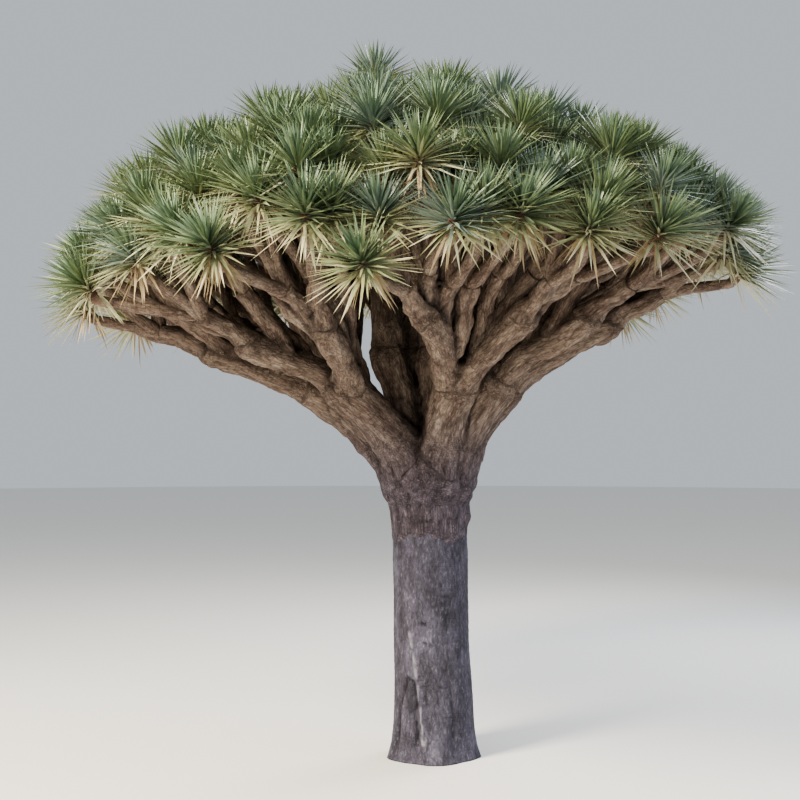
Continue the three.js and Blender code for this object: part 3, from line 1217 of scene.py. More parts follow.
@dataclass
class Trunk:
    """The trunk from its flat cut at the ground to the ragged top edge of its grey bark."""

    foot_radius: float = 0.364
    waist_radius: float = 0.326
    waist_height: float = 1.70
    flare_width: float = 0.046
    flare_height: float = 0.14
    goblet_height: float = 1.98
    rim_radius: float = 0.555
    rim_height: float = 2.68
    lean: float = TRUNK_LEAN
    foot_taper: float = 1.3
    goblet_taper: float = 2.2
    root_lobes: int = 5
    root_depth: float = 0.05
    root_height: float = 0.42
    root_turn: float = 1.0
    top_height: float = 2.05
    rings: int = 160
    sides: int = 150
    ring_spacing: float = 0.032
    grain_squeeze: float = 0.45
    lip: float = 0.03
    lip_share: float = 0.012
    soft: Layer = Layer(0.016, 2.4, 3.0, (1, 1, 0.6))
    muscle: Layer = Layer(0.010, 7.0, 9.0, (1, 1, 0.3))
    fine: Layer = Layer(0.003, 24.0, 2.0, (1, 1, 1.4))
    dip: float = 0.006
    # How dark the painted shade in a dip between the swellings is
    dip_shade: float = 0.30
    ring_waves: tuple[Layer, Layer] = (Layer(0.05, 2.6, 17.0), Layer(0.008, 12.0, 5.0))
    ring_patches: Layer = Layer(1.3, 3.4, 41.0, (1, 1, 2.0))
    ring_least: float = 0.25
    seam_breaks: Layer = Layer(2.2, 42.0, 23.0, (1, 1, 0.22))
    seam_least: float = 0.45
    top_waves: tuple[Layer, Layer] = (Layer(0.02, 2.3, 8.0), Layer(0.008, 9.0, 1.0))

    def radius(self, height: Array) -> Array:
        """The trunk's even radius.

        Args:
            height: Heights above the ground.

        Returns:
            The radius at each height.
        """
        below = np.maximum(0, 1 - height / self.waist_height)
        above = np.maximum(0, height - self.goblet_height) / (self.rim_height - self.goblet_height)
        foot = (self.foot_radius - self.waist_radius) * below**self.foot_taper
        flare = self.flare_width * np.exp(-height / self.flare_height)
        goblet = (self.rim_radius - self.waist_radius) * above**self.goblet_taper
        return self.waist_radius + foot + flare + goblet

    def axis_x(self, height: Array) -> Array:
        """How far the lean has carried the axis at each height."""
        return self.lean * (height / self.rim_height) ** 2

    def lobes(self, turn: Array, height: Array) -> Array:
        """How far root lobes draw the round out, as a share of the radius."""
        foot = self.root_depth * np.exp(-height / self.root_height)
        return 1 + foot * np.cos(self.root_lobes * turn + self.root_turn)

    def relief(self, turn: Array, height: Array, points: Array) -> dict[str, Array]:
        """The bark's relief: soft swellings and the seams' creases, ridges, scars and knot.

        Args:
            turn: The compass turn of each corner.
            height: Its height.
            points: Its place.

        Returns:
            Arrays named out, for how far each corner stands out, and for the finish to read: the
            painted shade in dips and creases with the dark scars, whose values below 0 are pale
            worn marks with painted sunlight, and ring and ringed.
        """
        muscle = self.muscle.at(points)
        out = self.soft.at(points) + muscle + self.fine.at(points)
        # Painted shade in the dips between the swellings
        painted_shade_and_scar = self.dip_shade * smooth(-muscle / self.dip)
        broken = smooth(self.seam_least + self.seam_breaks.at(points))
        # Each seam adds a dark scar with painted shade in its crease, or with a shade below 0 a
        # pale worn mark with painted sunlight
        for seam in SEAMS:
            mark = seam.share(turn, height)
            out = out + seam.depth * mark
            painted_shade_and_scar = painted_shade_and_scar + seam.shade * mark * broken
        broad, narrow = self.ring_waves
        wave = height + broad.at(points) + narrow.at(points)
        return {
            "out": out,
            "painted_shade_and_scar": np.clip(painted_shade_and_scar, -1, 1),
            "ring": wave / self.ring_spacing,
            "ringed": smooth(self.ring_least + self.ring_patches.at(points)),
        }

    def build(self) -> list[bpy.types.Object]:
        """Build the trunk and dress it in its smooth grey bark.

        Returns:
            The one piece.
        """
        turns = np.linspace(-math.pi, math.pi, self.sides, endpoint=False)
        shares = np.linspace(0, 1, self.rings + 1)
        edge = np.stack([np.cos(turns), np.sin(turns), np.zeros(self.sides)], 1)
        broad, narrow = self.top_waves
        tops = self.top_height + broad.at(edge) + narrow.at(edge)
        height = shares[:, None] * tops[None, :]
        turn = np.broadcast_to(turns, height.shape)
        bare = self.radius(height) * self.lobes(turn, height)
        places = self.places(bare, turn, height)
        found = self.relief(turn.ravel(), height.ravel(), places)
        tuck = smooth((shares - 1 + self.lip_share) / self.lip_share)[:, None] * self.lip
        grown = bare + found["out"].reshape(bare.shape) - tuck
        corners = self.places(grown, turn, height)
        corners[: self.sides, 2] = 0.0
        middles = [corners[ring].mean(0) for ring in (slice(self.sides), slice(-self.sides, None))]
        corners = np.vstack([corners, *middles])
        faces = closed_faces(self.rings + 1, self.sides)[:, OTHER_WAY_ROUND]
        piece = add_piece("trunk_bark", (corners, faces), TRUNK_BARK)
        for name in ("painted_shade_and_scar", "ring", "ringed"):
            store(piece, name, np.append(found[name], (0.0, 0.0)))
        store(piece, "grown", corners * (1, 1, self.grain_squeeze))
        shade_smooth(piece)
        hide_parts("trunk")
        return [piece]

    def places(self, radius: Array, turn: Array, height: Array) -> Array:
        """Where corners lie round the leaning axis.

        Args:
            radius: Distances from the axis.
            turn: Compass turns.
            height: Heights above the ground.

        Returns:
            One place a row.
        """
        x = self.axis_x(height) + radius * np.cos(turn)
        y = radius * np.sin(turn)
        return np.stack([x.ravel(), y.ravel(), height.ravel()], 1)


@dataclass(frozen=True)
class Seam:
    """A mark along a line on the trunk: a crease, a ridge, a scar or a knot.

    The line runs through points of a compass turn in degrees and a height. A shade above 0
    darkens the mark as a scar with painted shade in its crease; a shade below 0 is worn
    lighter than the bark round it, with painted sunlight on it.
    """

    line: tuple[tuple[float, float], ...]
    width: float
    depth: float
    shade: float
    girth: float = 0.335

    def share(self, turn: Array, height: Array) -> Array:
        """How fully the mark shows at each corner.

        Args:
            turn: Compass turns, in radians.
            height: Heights above the ground.

        Returns:
            1 on the line, falling to 0 beside it.
        """
        first = math.radians(self.line[0][0])
        away = np.remainder(turn - first + math.pi, 2 * math.pi) - math.pi
        points = np.stack([away * self.girth, height], 1)
        line = np.array([((math.radians(t) - first) * self.girth, h) for t, h in self.line])
        nearest = np.full(len(points), FAR)
        for start, end in zip(line, line[1:]):
            step = end - start
            along = np.clip((points - start) @ step / (step @ step), 0, 1)
            gap = np.linalg.norm(points - start - along[:, None] * step, axis=1)
            nearest = np.minimum(nearest, gap)
        return np.exp(-((nearest / self.width) ** 2))


# The marks that the front of the trunk shows, and a few of the same kind on its other sides.
# Dark ones are scars with painted shade in their creases; pale ones are worn, with painted sunlight
SEAMS = (
    Seam(((-107, 1.215), (-98, 1.205)), 0.016, -0.012, 0.8),
    Seam(((-104, 1.045), (-94, 1.03)), 0.013, -0.010, 0.7),
    Seam(((-126, 0.99), (-117, 0.97)), 0.015, -0.009, 0.5),
    # A pale ridge and a pale knot: worn, with painted sunlight on them
    Seam(((-126, 1.12), (-119, 0.88), (-113, 0.62), (-110, 0.52)), 0.015, 0.013, -0.52),
    Seam(((-109, 0.47), (-107, 0.38), (-104, 0.18)), 0.024, 0.020, -0.68),
    # The arch of a crease, dark with painted shade
    Seam(
        ((-144, 0.12), (-142, 0.50), (-132, 0.72), (-120, 0.70), (-115, 0.50), (-112, 0.16)),
        0.017,
        -0.018,
        0.8,
    ),
    Seam(((-128, 0.22), (-128, 0.52)), 0.085, 0.020, 0.15),
    Seam(((-74, 1.455), (-65, 1.45)), 0.012, -0.008, 0.5),
    Seam(((-82, 0.665), (-69, 0.655)), 0.011, -0.007, 0.45),
    Seam(((-62, 0.08), (-60, 0.42), (-66, 0.70)), 0.022, -0.012, 0.4),
    Seam(((50, 1.11), (68, 1.09)), 0.014, -0.010, 0.6),
    Seam(((96, 0.50), (101, 0.60)), 0.050, 0.018, -0.3),
    Seam(((142, 1.36), (158, 1.34)), 0.013, -0.009, 0.6),
    Seam(((2, 0.76), (18, 0.74)), 0.012, -0.008, 0.5),
    Seam(((35, 0.08), (39, 0.50), (31, 0.92)), 0.022, -0.013, 0.5),
    Seam(((176, 0.10), (170, 0.46), (178, 0.84)), 0.024, -0.014, 0.5),
    Seam(((118, 0.08), (112, 0.38)), 0.024, -0.013, 0.5),
)


# Boughs


@dataclass
class Flesh:
    """Round chains of wood, each a middle line and radii, that run into one another."""

    chains: list[tuple[Array, Array]]
    blend: float = 0.022
    margin: float = 0.22
    gap_limits: tuple[float, float] = (-0.5, 1.0)
    parting: float = 0.25
    grain_squeeze: float = 0.25

    def nearest(self, points: Array, chain: tuple[Array, Array]) -> tuple[Array, ...]:
        """Distance, way out from the middle line, heading and length along one chain.

        Args:
            points: The points to measure from.
            chain: The middle line and radii.

        Returns:
            Those four for each point.
        """
        spine, radii = chain
        start, step = spine[:-1], np.diff(spine, axis=0)
        from_start = points[:, None] - start
        along = np.clip((from_start * step).sum(2) / (step * step).sum(1), 0, 1)
        away = from_start - along[..., None] * step
        gap = np.linalg.norm(away, axis=2) - mix(radii[:-1], radii[1:], along)
        best = gap.argmin(1)
        rows = np.arange(len(points))
        lengths = np.linalg.norm(step, axis=1)
        passed = (np.cumsum(lengths) - lengths)[best] + along[rows, best] * lengths[best]
        return gap[rows, best], away[rows, best], unit(step)[best], passed

    def measure(self, points: Array) -> dict[str, Array]:
        """The blended skin's distance and direction at many points.

        Args:
            points: The points, one a row.

        Returns:
            Arrays named gap, out, heading, passed, grown and crotch. Passed is the length
            along the nearest chain, and grown the place on it, drawn in along its grain.
            Crotch is 1 in the fork of two chains and 0 where one is alone.
        """
        count = len(points)
        lowest = np.full(count, FAR)
        total = np.zeros(count)
        out = np.zeros((count, 3))
        heading = np.zeros((count, 3))
        passed = np.zeros(count)
        grown = np.zeros((count, 3))
        for chain in self.chains:
            reach = chain[1].max() + self.margin
            low, high = chain[0].min(0) - reach, chain[0].max(0) + reach
            near = np.flatnonzero(((points > low) & (points < high)).all(1))
            if not len(near):
                continue
            gap, away, along, at = self.nearest(points[near], chain)
            weight = np.exp(-np.clip(gap, *self.gap_limits) / self.blend)
            total[near] += weight
            out[near] += unit(away) * weight[:, None]
            heading[near] += along * weight[:, None]
            closer = gap < lowest[near]
            lowest[near[closer]] = gap[closer]
            passed[near[closer]] = at[closer]
            way = unit(chain[0][-1] - chain[0][0])
            place = away + way * (at * self.grain_squeeze)[:, None] + chain[0][0]
            grown[near[closer]] = place[closer]
        total = np.maximum(total, TINY)
        agreed = np.linalg.norm(out, axis=1) / total
        return {
            "gap": -self.blend * np.log(total),
            "out": unit(out),
            "heading": unit(heading),
            "passed": passed,
            "grown": grown,
            "crotch": smooth((1 - agreed) / self.parting),
        }


@dataclass(frozen=True)
class Wrinkles:
    """Wrinkles along a limb: cells in a metre, reach along the grain, seed, height and the painted
    shade in their valleys.
    """

    scale: float
    reach: float
    seed: float
    height: float
    shade: float
    mean: float = 0.25
    valley: float = 0.16

    def at(self, points: Array, heading: Array) -> tuple[Array, Array]:
        """The wrinkles' ridges and valleys.

        Args:
            points: The points, one a row.
            heading: The limb's direction at each.

        Returns:
            How far each point stands out, and the painted shade in the valley there.
        """
        rise = np.abs(smeared(points, heading, self.scale, self.reach, self.seed))
        return self.height * (rise - self.mean), self.shade * smooth(1 - rise / self.valley)


@dataclass
class Boughs:
    """The goblet of the trunk, the boughs and their forks, fused into one skin."""

    skeleton: Skeleton
    trunk: Trunk
    voxel: float = 0.0268
    rounds: int = 3
    sides: int = 20
    pull: float = 0.6
    furthest_pull: float = 0.06
    goblet_from: float = 1.62
    goblet_to: float = 2.5
    goblet_steps: int = 44
    proud: float = 0.006
    slimmer: float = 0.02
    slim_from: float = 2.1
    slim_over: float = 0.3
    inset: float = 0.045
    lip_height: float = 1.95
    lip_rise: float = 0.05
    lip_span: float = 0.09
    lip_wander: float = 0.055
    lip_waves: tuple[Layer, Layer] = (
        Layer(1.0, 4.0, 8.0, (1, 1, 0)),
        Layer(0.5, 13.0, 8.0, (1, 1, 0)),
    )
    calm: float = 0.35
    calm_until: float = 1.9
    calm_over: float = 0.3
    old_until: float = 2.25
    old_fade: float = 1.0
    bough_steps: int = 10
    fork_steps: int = 16
    branch_steps: int = 8
    rib_steps: int = 8
    rib_swing: float = 0.5
    rib_foot: float = 1.98
    rib_foot_wander: float = 0.2
    rib_top: float = 2.47
    rib_depths: tuple[float, float] = (0.06, 0.20)
    rib_radii: tuple[float, float, float] = (0.04, 0.10, 0.185)
    lumps: Layer = Layer(0.008, 3.4, 12.0)
    wrinkles: tuple[Wrinkles, Wrinkles] = (
        Wrinkles(8.5, 0.11, 31.0, 0.034, 0.40),
        Wrinkles(17.0, 0.06, 57.0, 0.020, 0.20),
    )
    # How dark the painted shade in a crotch is
    crotch_shade: float = 0.55
    ring_spacing: float = 0.055
    ring_wave: Layer = Layer(0.03, 3.0, 71.0)
    ring_patches: Layer = Layer(1.2, 4.0, 77.0)
    ring_least: float = 0.3

    def goblet(self) -> tuple[Array, Array]:
        """The trunk's goblet, tucked in where the trunk's own bark covers it.

        Returns:
            Its middle line and radii.
        """
        height = np.linspace(self.goblet_from, self.goblet_to, self.goblet_steps)
        spine = np.stack([self.trunk.axis_x(height), 0 * height, height], 1)
        tucked = self.inset * (1 - smooth((height - self.lip_height) / self.lip_rise))
        slimmed = self.slimmer * smooth((height - self.slim_from) / self.slim_over)
        return spine, self.trunk.radius(height) - tucked - slimmed + self.proud

    def rooted(self, bough: Limb, number: int) -> tuple[Array, Array]:
        """A bough with a ridge that carries its line down the side of the goblet.

        Args:
            bough: The bough.
            number: Its number, which seeds the ridge's wander.

        Returns:
            The middle line and radii of ridge and bough.
        """
        spine, radii = bough.spine(self.bough_steps)
        if bough.base <= self.skeleton.top_wood[0]:
            return spine, radii
        way = unit((bough.route.goal - bough.route.start) * (1, 1, 0))
        turn = math.atan2(way[1], way[0])
        aside = turn + self.rib_swing * (chance(number, Lot.RIB_TURN) - 0.5)
        at = np.linspace(0, 1, self.rib_steps)
        foot = self.rib_foot + self.rib_foot_wander * chance(number, Lot.RIB_FOOT)
        height = mix(foot, self.rib_top, at)
        reach = self.trunk.radius(height) - mix(*self.rib_depths, at)
        turns = mix(aside, turn, smooth(at))
        x = self.trunk.axis_x(height) + reach * np.cos(turns)
        ridge = np.stack([x, reach * np.sin(turns), height], 1)
        swell = np.interp(at, (0, 0.5, 1), self.rib_radii)
        return np.vstack([ridge, spine]), np.append(swell, radii)

    def chains(self) -> list[tuple[Array, Array]]:
        """Every chain of wood that is fused into the skin.

        Returns:
            The middle line and radii of each chain.
        """
        boughs = [self.rooted(limb, number) for number, limb in enumerate(self.skeleton.boughs)]
        forks = [limb.spine(self.fork_steps) for limb in self.skeleton.forks]
        branches = [limb.spine(self.branch_steps) for limb in self.skeleton.branches]
        return [self.goblet(), *boughs, *forks, *branches]

    def fuse(self, chains: list[tuple[Array, Array]]) -> Mesh:
        """One even skin of quads round all the chains.

        Args:
            chains: The middle line and radii of each chain.

        Returns:
            The corners and faces of the skin.
        """
        tubes = joined([tube(spine, radii, self.sides) for spine, radii in chains])
        data = bpy.data.meshes.new("raw_boughs")
        data.from_pydata(tubes[0].tolist(), [], as_polygons(tubes[1]))
        raw = bpy.data.objects.new("raw_boughs", data)
        bpy.context.scene.collection.objects.link(raw)
        remesh = raw.modifiers.new("skin", "REMESH")
        remesh.mode = "VOXEL"
        remesh.voxel_size = self.voxel
        done = raw.evaluated_get(bpy.context.evaluated_depsgraph_get()).to_mesh()
        corners = np.empty(len(done.vertices) * 3)
        done.vertices.foreach_get("co", corners)
        loops = np.empty(len(done.loops), int)
        done.loops.foreach_get("vertex_index", loops)
        faces = loops.reshape(-1, 4)
        raw.to_mesh_clear()
        bpy.data.objects.remove(raw)
        bpy.data.meshes.remove(data)
        return main_shell(corners.reshape(-1, 3), faces)

    def relax(self, corners: Array, faces: Array, flesh: Flesh) -> Array:
        """Draw the skin's corners evenly over the blended shape.

        Args:
            corners: The skin's corners.
            faces: Its quads.
            flesh: The blended shape.

        Returns:
            The corners on that shape.
        """
        edges = np.vstack([faces[:, [k, (k + 1) % 4]] for k in range(4)])
        count = np.bincount(edges[:, 0], minlength=len(corners))[:, None]
        for _ in range(self.rounds):
            total = np.zeros_like(corners)
            for axis in range(3):
                weights = corners[edges[:, 1], axis]
                total[:, axis] = np.bincount(edges[:, 0], weights, len(corners))
            corners = mix(corners, total / count, self.pull)
            found = flesh.measure(corners)
            gap = np.clip(found["gap"], -self.furthest_pull, self.furthest_pull)
            corners = corners - found["out"] * gap[:, None]
        return corners

    def relief(self, corners: Array, found: dict[str, Array]) -> dict[str, Array]:
        """The corky bark's relief: lumps, and wrinkles along the limb.

        Args:
            corners: The skin's corners.
            found: What the blended shape measures there.

        Returns:
            Arrays named out, for how far each corner stands out, and for the finish to read: the
            painted shade of crotches and wrinkle valleys, ring, ringed and age.
        """
        crotch = found["crotch"]
        out = self.lumps.at(corners)
        # Painted shade in the crotches, and then in the valleys of the wrinkles
        painted_shade_and_scar = self.crotch_shade * crotch
        for wrinkles in self.wrinkles:
            ridge, valley = wrinkles.at(corners, found["heading"])
            out = out + ridge
            painted_shade_and_scar = painted_shade_and_scar + valley
        wave = found["passed"] + self.ring_wave.at(corners)
        patchy = smooth(self.ring_least + self.ring_patches.at(corners))
        return {
            "out": out,
            "painted_shade_and_scar": np.clip(painted_shade_and_scar, 0, 1),
            "ring": wave / self.ring_spacing,
            "ringed": (1 - crotch) * patchy,
            "age": 1 - smooth((corners[:, 2] - self.old_until) / self.old_fade),
            "grown": found["grown"],
        }

    def build(self) -> list[bpy.types.Object]:
        """Build the fused skin and dress it in corky bark.

        Returns:
            The one piece.
        """
        chains = self.chains()
        flesh = Flesh(chains)
        corners, faces = self.fuse(chains)
        corners = self.relax(corners, faces, flesh)
        found = flesh.measure(corners)
        kept = self.relief(corners, found)
        calm = mix(self.calm, 1.0, smooth((corners[:, 2] - self.calm_until) / self.calm_over))
        corners = corners + found["out"] * (kept.pop("out") * calm)[:, None]
        edge = np.exp(-(((corners[:, 2] - self.lip_height) / self.lip_span) ** 2))
        broad, narrow = self.lip_waves
        corners[:, 2] += self.lip_wander * edge * (broad.at(corners) + narrow.at(corners))
        piece = add_piece("bough_bark", (corners, faces), BOUGH_BARK)
        for name, values in kept.items():
            store(piece, name, values)
        shade_smooth(piece)
        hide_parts(*nodes_named("bough_", "fork_"))
        return [piece]


# Branches and twigs


@dataclass
class Twigs:
    """The twigs inside the crown, and the scarred necks that bend from them to the leaves."""

    skeleton: Skeleton
    twig_sides: int = 12
    neck_sides: int = 9
    steps: int = 12
    lumps: tuple[tuple[float, float], ...] = ((0.10, 9.0), (0.06, 26.0))
    lump_seed_step: float = 0.7
    ring_spacing: float = 0.035
    ringed: float = 0.8
    grain_squeeze: float = 0.3
    sleeve: tuple[float, float] = (0.06, 0.18)
    neck_depth: float = 0.05
    neck_radius: float = 0.047
    foot_share: float = 0.7
    foot_scars: float = 5.0
    head_share: float = 0.75
    head_scars: float = 4.0
    scar_spacing: float = 0.036
    scar_depth: float = 0.005
    scar_ledge: float = 0.75
    old_scars: tuple[float, float] = (1.0, 6.0)
    rings: list[Array] = field(default_factory=list)
    ages: list[Array] = field(default_factory=list)
    grown: list[Array] = field(default_factory=list)

    def lumpy(self, limb: Limb, seed: float) -> Mesh:
        """A limb with lumps and a wrinkled skin.

        Args:
            limb: The limb.
            seed: What sets its lumps apart from those of other limbs.

        Returns:
            Its corners and faces.
        """
        spine, radii = limb.spine(self.steps)
        corners, faces = tube(spine, radii, self.twig_sides)
        body = corners[: len(spine) * self.twig_sides]
        middle = np.repeat(spine, self.twig_sides, axis=0)
        swell = 1 + sum(height * rough(body, scale, seed) for height, scale in self.lumps)
        corners[: len(body)] = middle + (body - middle) * swell[:, None]
        passed = np.linspace(0, np.linalg.norm(spine[-1] - spine[0]), len(spine))
        self.rings.append(np.append(np.repeat(passed, self.twig_sides), (0, passed[-1])))
        drawn = spine + unit(spine[-1] - spine[0]) * ((self.grain_squeeze - 1) * passed)[:, None]
        grown = np.repeat(drawn, self.twig_sides, axis=0) + corners[: len(body)] - middle
        self.grown.append(np.vstack([grown, drawn[[0, -1]]]))
        return corners, faces

    def neck(self, rosette: Rosette) -> Mesh:
        """The end of a twig, ringed by the scars of fallen leaves, which bends at the elbow.

        Args:
            rosette: The rosette that it carries.

        Returns:
            Its corners and faces.
        """
        top = rosette.place - rosette.axis * self.neck_depth
        overlap = mix(*self.sleeve, chance(rosette.index, Lot.SLEEVE))
        foot = rosette.elbow - rosette.heading * overlap
        length = np.linalg.norm(foot - rosette.elbow) + np.linalg.norm(top - rosette.elbow)
        rings = int(length / self.scar_spacing)
        at = np.repeat(np.arange(rings), 2) + np.tile((0.0, self.scar_ledge), rings)
        share = (at / at[-1])[:, None]
        bend = 2 * rosette.elbow - (foot + top) / 2
        spine = mix(mix(foot, bend, share), mix(bend, top, share), share)
        head = smooth((at - rings + self.head_scars) / self.head_scars)
        taper = smooth(at / self.foot_scars) * mix(1.0, self.head_share, head)
        first, span = self.old_scars
        self.ages.append(np.repeat(1 - smooth((at - first) / span), self.neck_sides))
        self.ages.append(np.array((1.0, 0.0)))
        radii = self.neck_radius * mix(self.foot_share, 1.0, taper)
        return tube(spine, radii + np.tile((0.0, self.scar_depth), rings), self.neck_sides)

    def build(self) -> list[bpy.types.Object]:
        """Build the twigs and necks.

        Returns:
            The two pieces.
        """
        limbs = enumerate(self.skeleton.twigs)
        wood = joined([self.lumpy(limb, self.lump_seed_step * number) for number, limb in limbs])
        necks = joined([self.neck(rosette) for rosette in self.skeleton.rosettes])
        smooth_wood = add_piece("twigs", wood, BOUGH_BARK)
        scarred_wood = add_piece("necks", necks, NECK_BARK)
        ring = np.concatenate(self.rings) / self.ring_spacing
        store(smooth_wood, "ring", ring)
        store(smooth_wood, "ringed", np.full(len(ring), self.ringed))
        store(smooth_wood, "grown", np.vstack(self.grown))
        store(scarred_wood, "age", np.concatenate(self.ages))
        store(scarred_wood, "grown", necks[0])
        for piece in (smooth_wood, scarred_wood):
            shade_smooth(piece)
            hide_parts(*nodes_named("foliage_"))
        return [smooth_wood, scarred_wood]


# Leaves


def blade_faces() -> Array:
    """The triangles of one leaf: a span of three sides, a point and a root cap.

    Returns:
        One triangle a row.
    """
    faces = []
    for a, b in ((0, 1), (1, 2), (2, 0)):
        faces += [(a, b, 3 + b), (a, 3 + b, 3 + a), (3 + a, 3 + b, 6)]
    return np.array([*faces, (0, 2, 1)])


BLADE_FACES = blade_faces()
BLADE_CORNERS = int(BLADE_FACES.max()) + 1


@dataclass(frozen=True)
class Skirt:
    """The dry leaves that hang round a rosette's neck, each pair a least and a most."""

    leaves: tuple[int, int] = (4, 26)
    rarity: float = 1.6
    outwards: tuple[float, float] = (0.35, 0.9)
    downwards: float = 0.8
    depths: tuple[float, float] = (0.08, 0.19)
    collar: float = 0.04
    lengths: tuple[float, float] = (0.5, 0.85)
    droop: float = 0.12
    pale_share: float = 0.35


LEAF_SEED = 7


@dataclass
class Rosettes:
    """The sword leaves of every rosette, dealt out by age into one piece for each colour.

    Each pair is a least and a most, or a value at the heart and one at the rim. A band
    pair is where the band starts in a bluish rosette and in a yellowish one.
    """

    skeleton: Skeleton
    skirt: Skirt = Skirt()
    leaves: int = 168
    leaf_counts: tuple[float, float] = (0.85, 1.15)
    length: float = 0.42
    lengths: tuple[float, float] = (0.88, 1.08)
    rosette_sizes: tuple[float, float] = (0.90, 1.06)
    heart_length: float = 0.66
    heart_share: float = 0.35
    width: float = 0.0235
    thickness: float = 0.005
    keel_fade: float = 0.5
    section_places: tuple[float, float] = (0.0, 0.42)
    section_widths: tuple[float, float] = (0.8, 1.0)
    twist: float = 0.25
    lean: float = 0.02
    widest_tilt: float = 90.0
    tilt_wander: float = 0.07
    turn_wander: float = 0.10
    root_drops: tuple[float, float] = (0.02, -0.13)
    collar: float = 0.03
    droops: tuple[float, float] = (0.02, 0.19)
    droop_power: float = 2.2
    droop_wander: float = 0.03
    green_share: float = 0.68
    green_band: tuple[float, float] = (0.34, 0.05)
    olive_band: tuple[float, float] = (0.84, 0.46)
    pale_band: tuple[float, float] = (0.96, 0.88)
    spare: float = 0.12
    draw: np.random.Generator = field(default_factory=lambda: np.random.default_rng(LEAF_SEED))
    sprays: dict[LeafAge, list[Array]] = field(default_factory=lambda: {age: [] for age in LeafAge})

    def build(self) -> list[bpy.types.Object]:
        """Build the leaves of every rosette.

        Returns:
            One piece for each age of leaf.
        """
        for rosette in self.skeleton.rosettes:
            self.green_leaves(rosette)
            self.dry_leaves(rosette)
        pieces = []
        for age, sprays in self.sprays.items():
            corners = np.concatenate(sprays)
            starts = BLADE_CORNERS * np.arange(len(corners))
            faces = BLADE_FACES + starts[:, None, None]
            mesh = corners.reshape(-1, 3), faces.reshape(-1, 3)
            piece = add_piece(f"leaves_{age.name.lower()}", mesh, age.value)
            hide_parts(*nodes_named("foliage_"))
            pieces.append(piece)
        return pieces

    def around(self, rosette: Rosette, turn: Array) -> Array:
        """Directions square to a rosette's axis.

        Args:
            rosette: The rosette.
            turn: The turn of each direction, in radians.

        Returns:
            One direction a row.
        """
        side = unit(np.cross(UP, rosette.axis) + NUDGE)
        front = np.cross(rosette.axis, side)
        return side * np.cos(turn)[:, None] + front * np.sin(turn)[:, None]

    def green_leaves(self, rosette: Rosette) -> None:
        """Add the living leaves of one rosette, from its heart outwards.

        Args:
            rosette: The rosette.
        """
        number = rosette.index
        count = int(self.leaves * mix(*self.leaf_counts, chance(number, Lot.LEAF_COUNT)))
        age = (np.arange(count) + 0.5) / count
        spread = 1 - math.cos(math.radians(self.widest_tilt))
        tilt = np.arccos(1 - spread * age) + self.draw.normal(0, self.tilt_wander, count)
        turn = np.arange(count) * GOLDEN_TURN + 2 * math.pi * chance(number, Lot.FIRST_LEAF)
        around = self.around(rosette, turn + self.draw.normal(0, self.turn_wander, count))
        across = np.sin(tilt)[:, None]
        ways = rosette.axis * np.cos(tilt)[:, None] + around * across
        drop = mix(*self.root_drops, age)
        roots = rosette.place + rosette.axis * drop[:, None] + around * (self.collar * across)
        grown = mix(self.heart_length, 1.0, smooth(age / self.heart_share))
        grown *= self.draw.uniform(*self.lengths, count)
        grown *= mix(*self.rosette_sizes, chance(number, Lot.LEAF_SIZE))
        wander = np.abs(self.draw.normal(0, self.droop_wander, count))
        droop = mix(*self.droops, age**self.droop_power) + wander
        corners = self.blades(roots, ways, rosette.axis, self.length * grown, droop)
        inside = self.inside(corners)
        for kind, low, high in self.bands(rosette):
            self.sprays[kind].append(corners[inside & (age >= low) & (age < high)])

    def bands(self, rosette: Rosette) -> list[tuple[LeafAge, float, float]]:
        """Which ages of leaf a rosette has, from its heart to its rim.

        Args:
            rosette: The rosette, whose lot runs from bluish to yellowish.

        Returns:
            Each kind with the band of the rosette that it fills.
        """
        tint = chance(rosette.index, Lot.TINT)
        greener = chance(rosette.index, Lot.GREEN_KIND) < self.green_share
        green, olive, pale = (
            mix(*band, tint) for band in (self.green_band, self.olive_band, self.pale_band)
        )
        return [
            (LeafAge.HEART, 0.0, green),
            (LeafAge.GREEN if greener else LeafAge.SAGE, green, olive),
            (LeafAge.OLIVE, olive, pale),
            (LeafAge.PALE, pale, 1.0),
        ]

    def dry_leaves(self, rosette: Rosette) -> None:
        """Add the dry leaves that hang round a rosette's neck.

        Args:
            rosette: The rosette.
        """
        skirt = self.skirt
        share = chance(rosette.index, Lot.DRY_COUNT) ** skirt.rarity
        count = int(mix(*skirt.leaves, share))
        around = self.around(rosette, self.draw.uniform(0, 2 * math.pi, count))
        outwards = self.draw.uniform(*skirt.outwards, count)[:, None]
        ways = unit(around * outwards - UP * skirt.downwards)
        roots = rosette.place - rosette.axis * self.draw.uniform(*skirt.depths, count)[:, None]
        lengths = self.length * self.draw.uniform(*skirt.lengths, count)
        droop = np.full(count, skirt.droop)
        corners = self.blades(roots + around * skirt.collar, ways, rosette.axis, lengths, droop)
        pale = chance(rosette.index, Lot.DRY_KIND) < skirt.pale_share
        kind = LeafAge.PALE if pale else LeafAge.DRY
        self.sprays[kind].append(corners[self.inside(corners)])

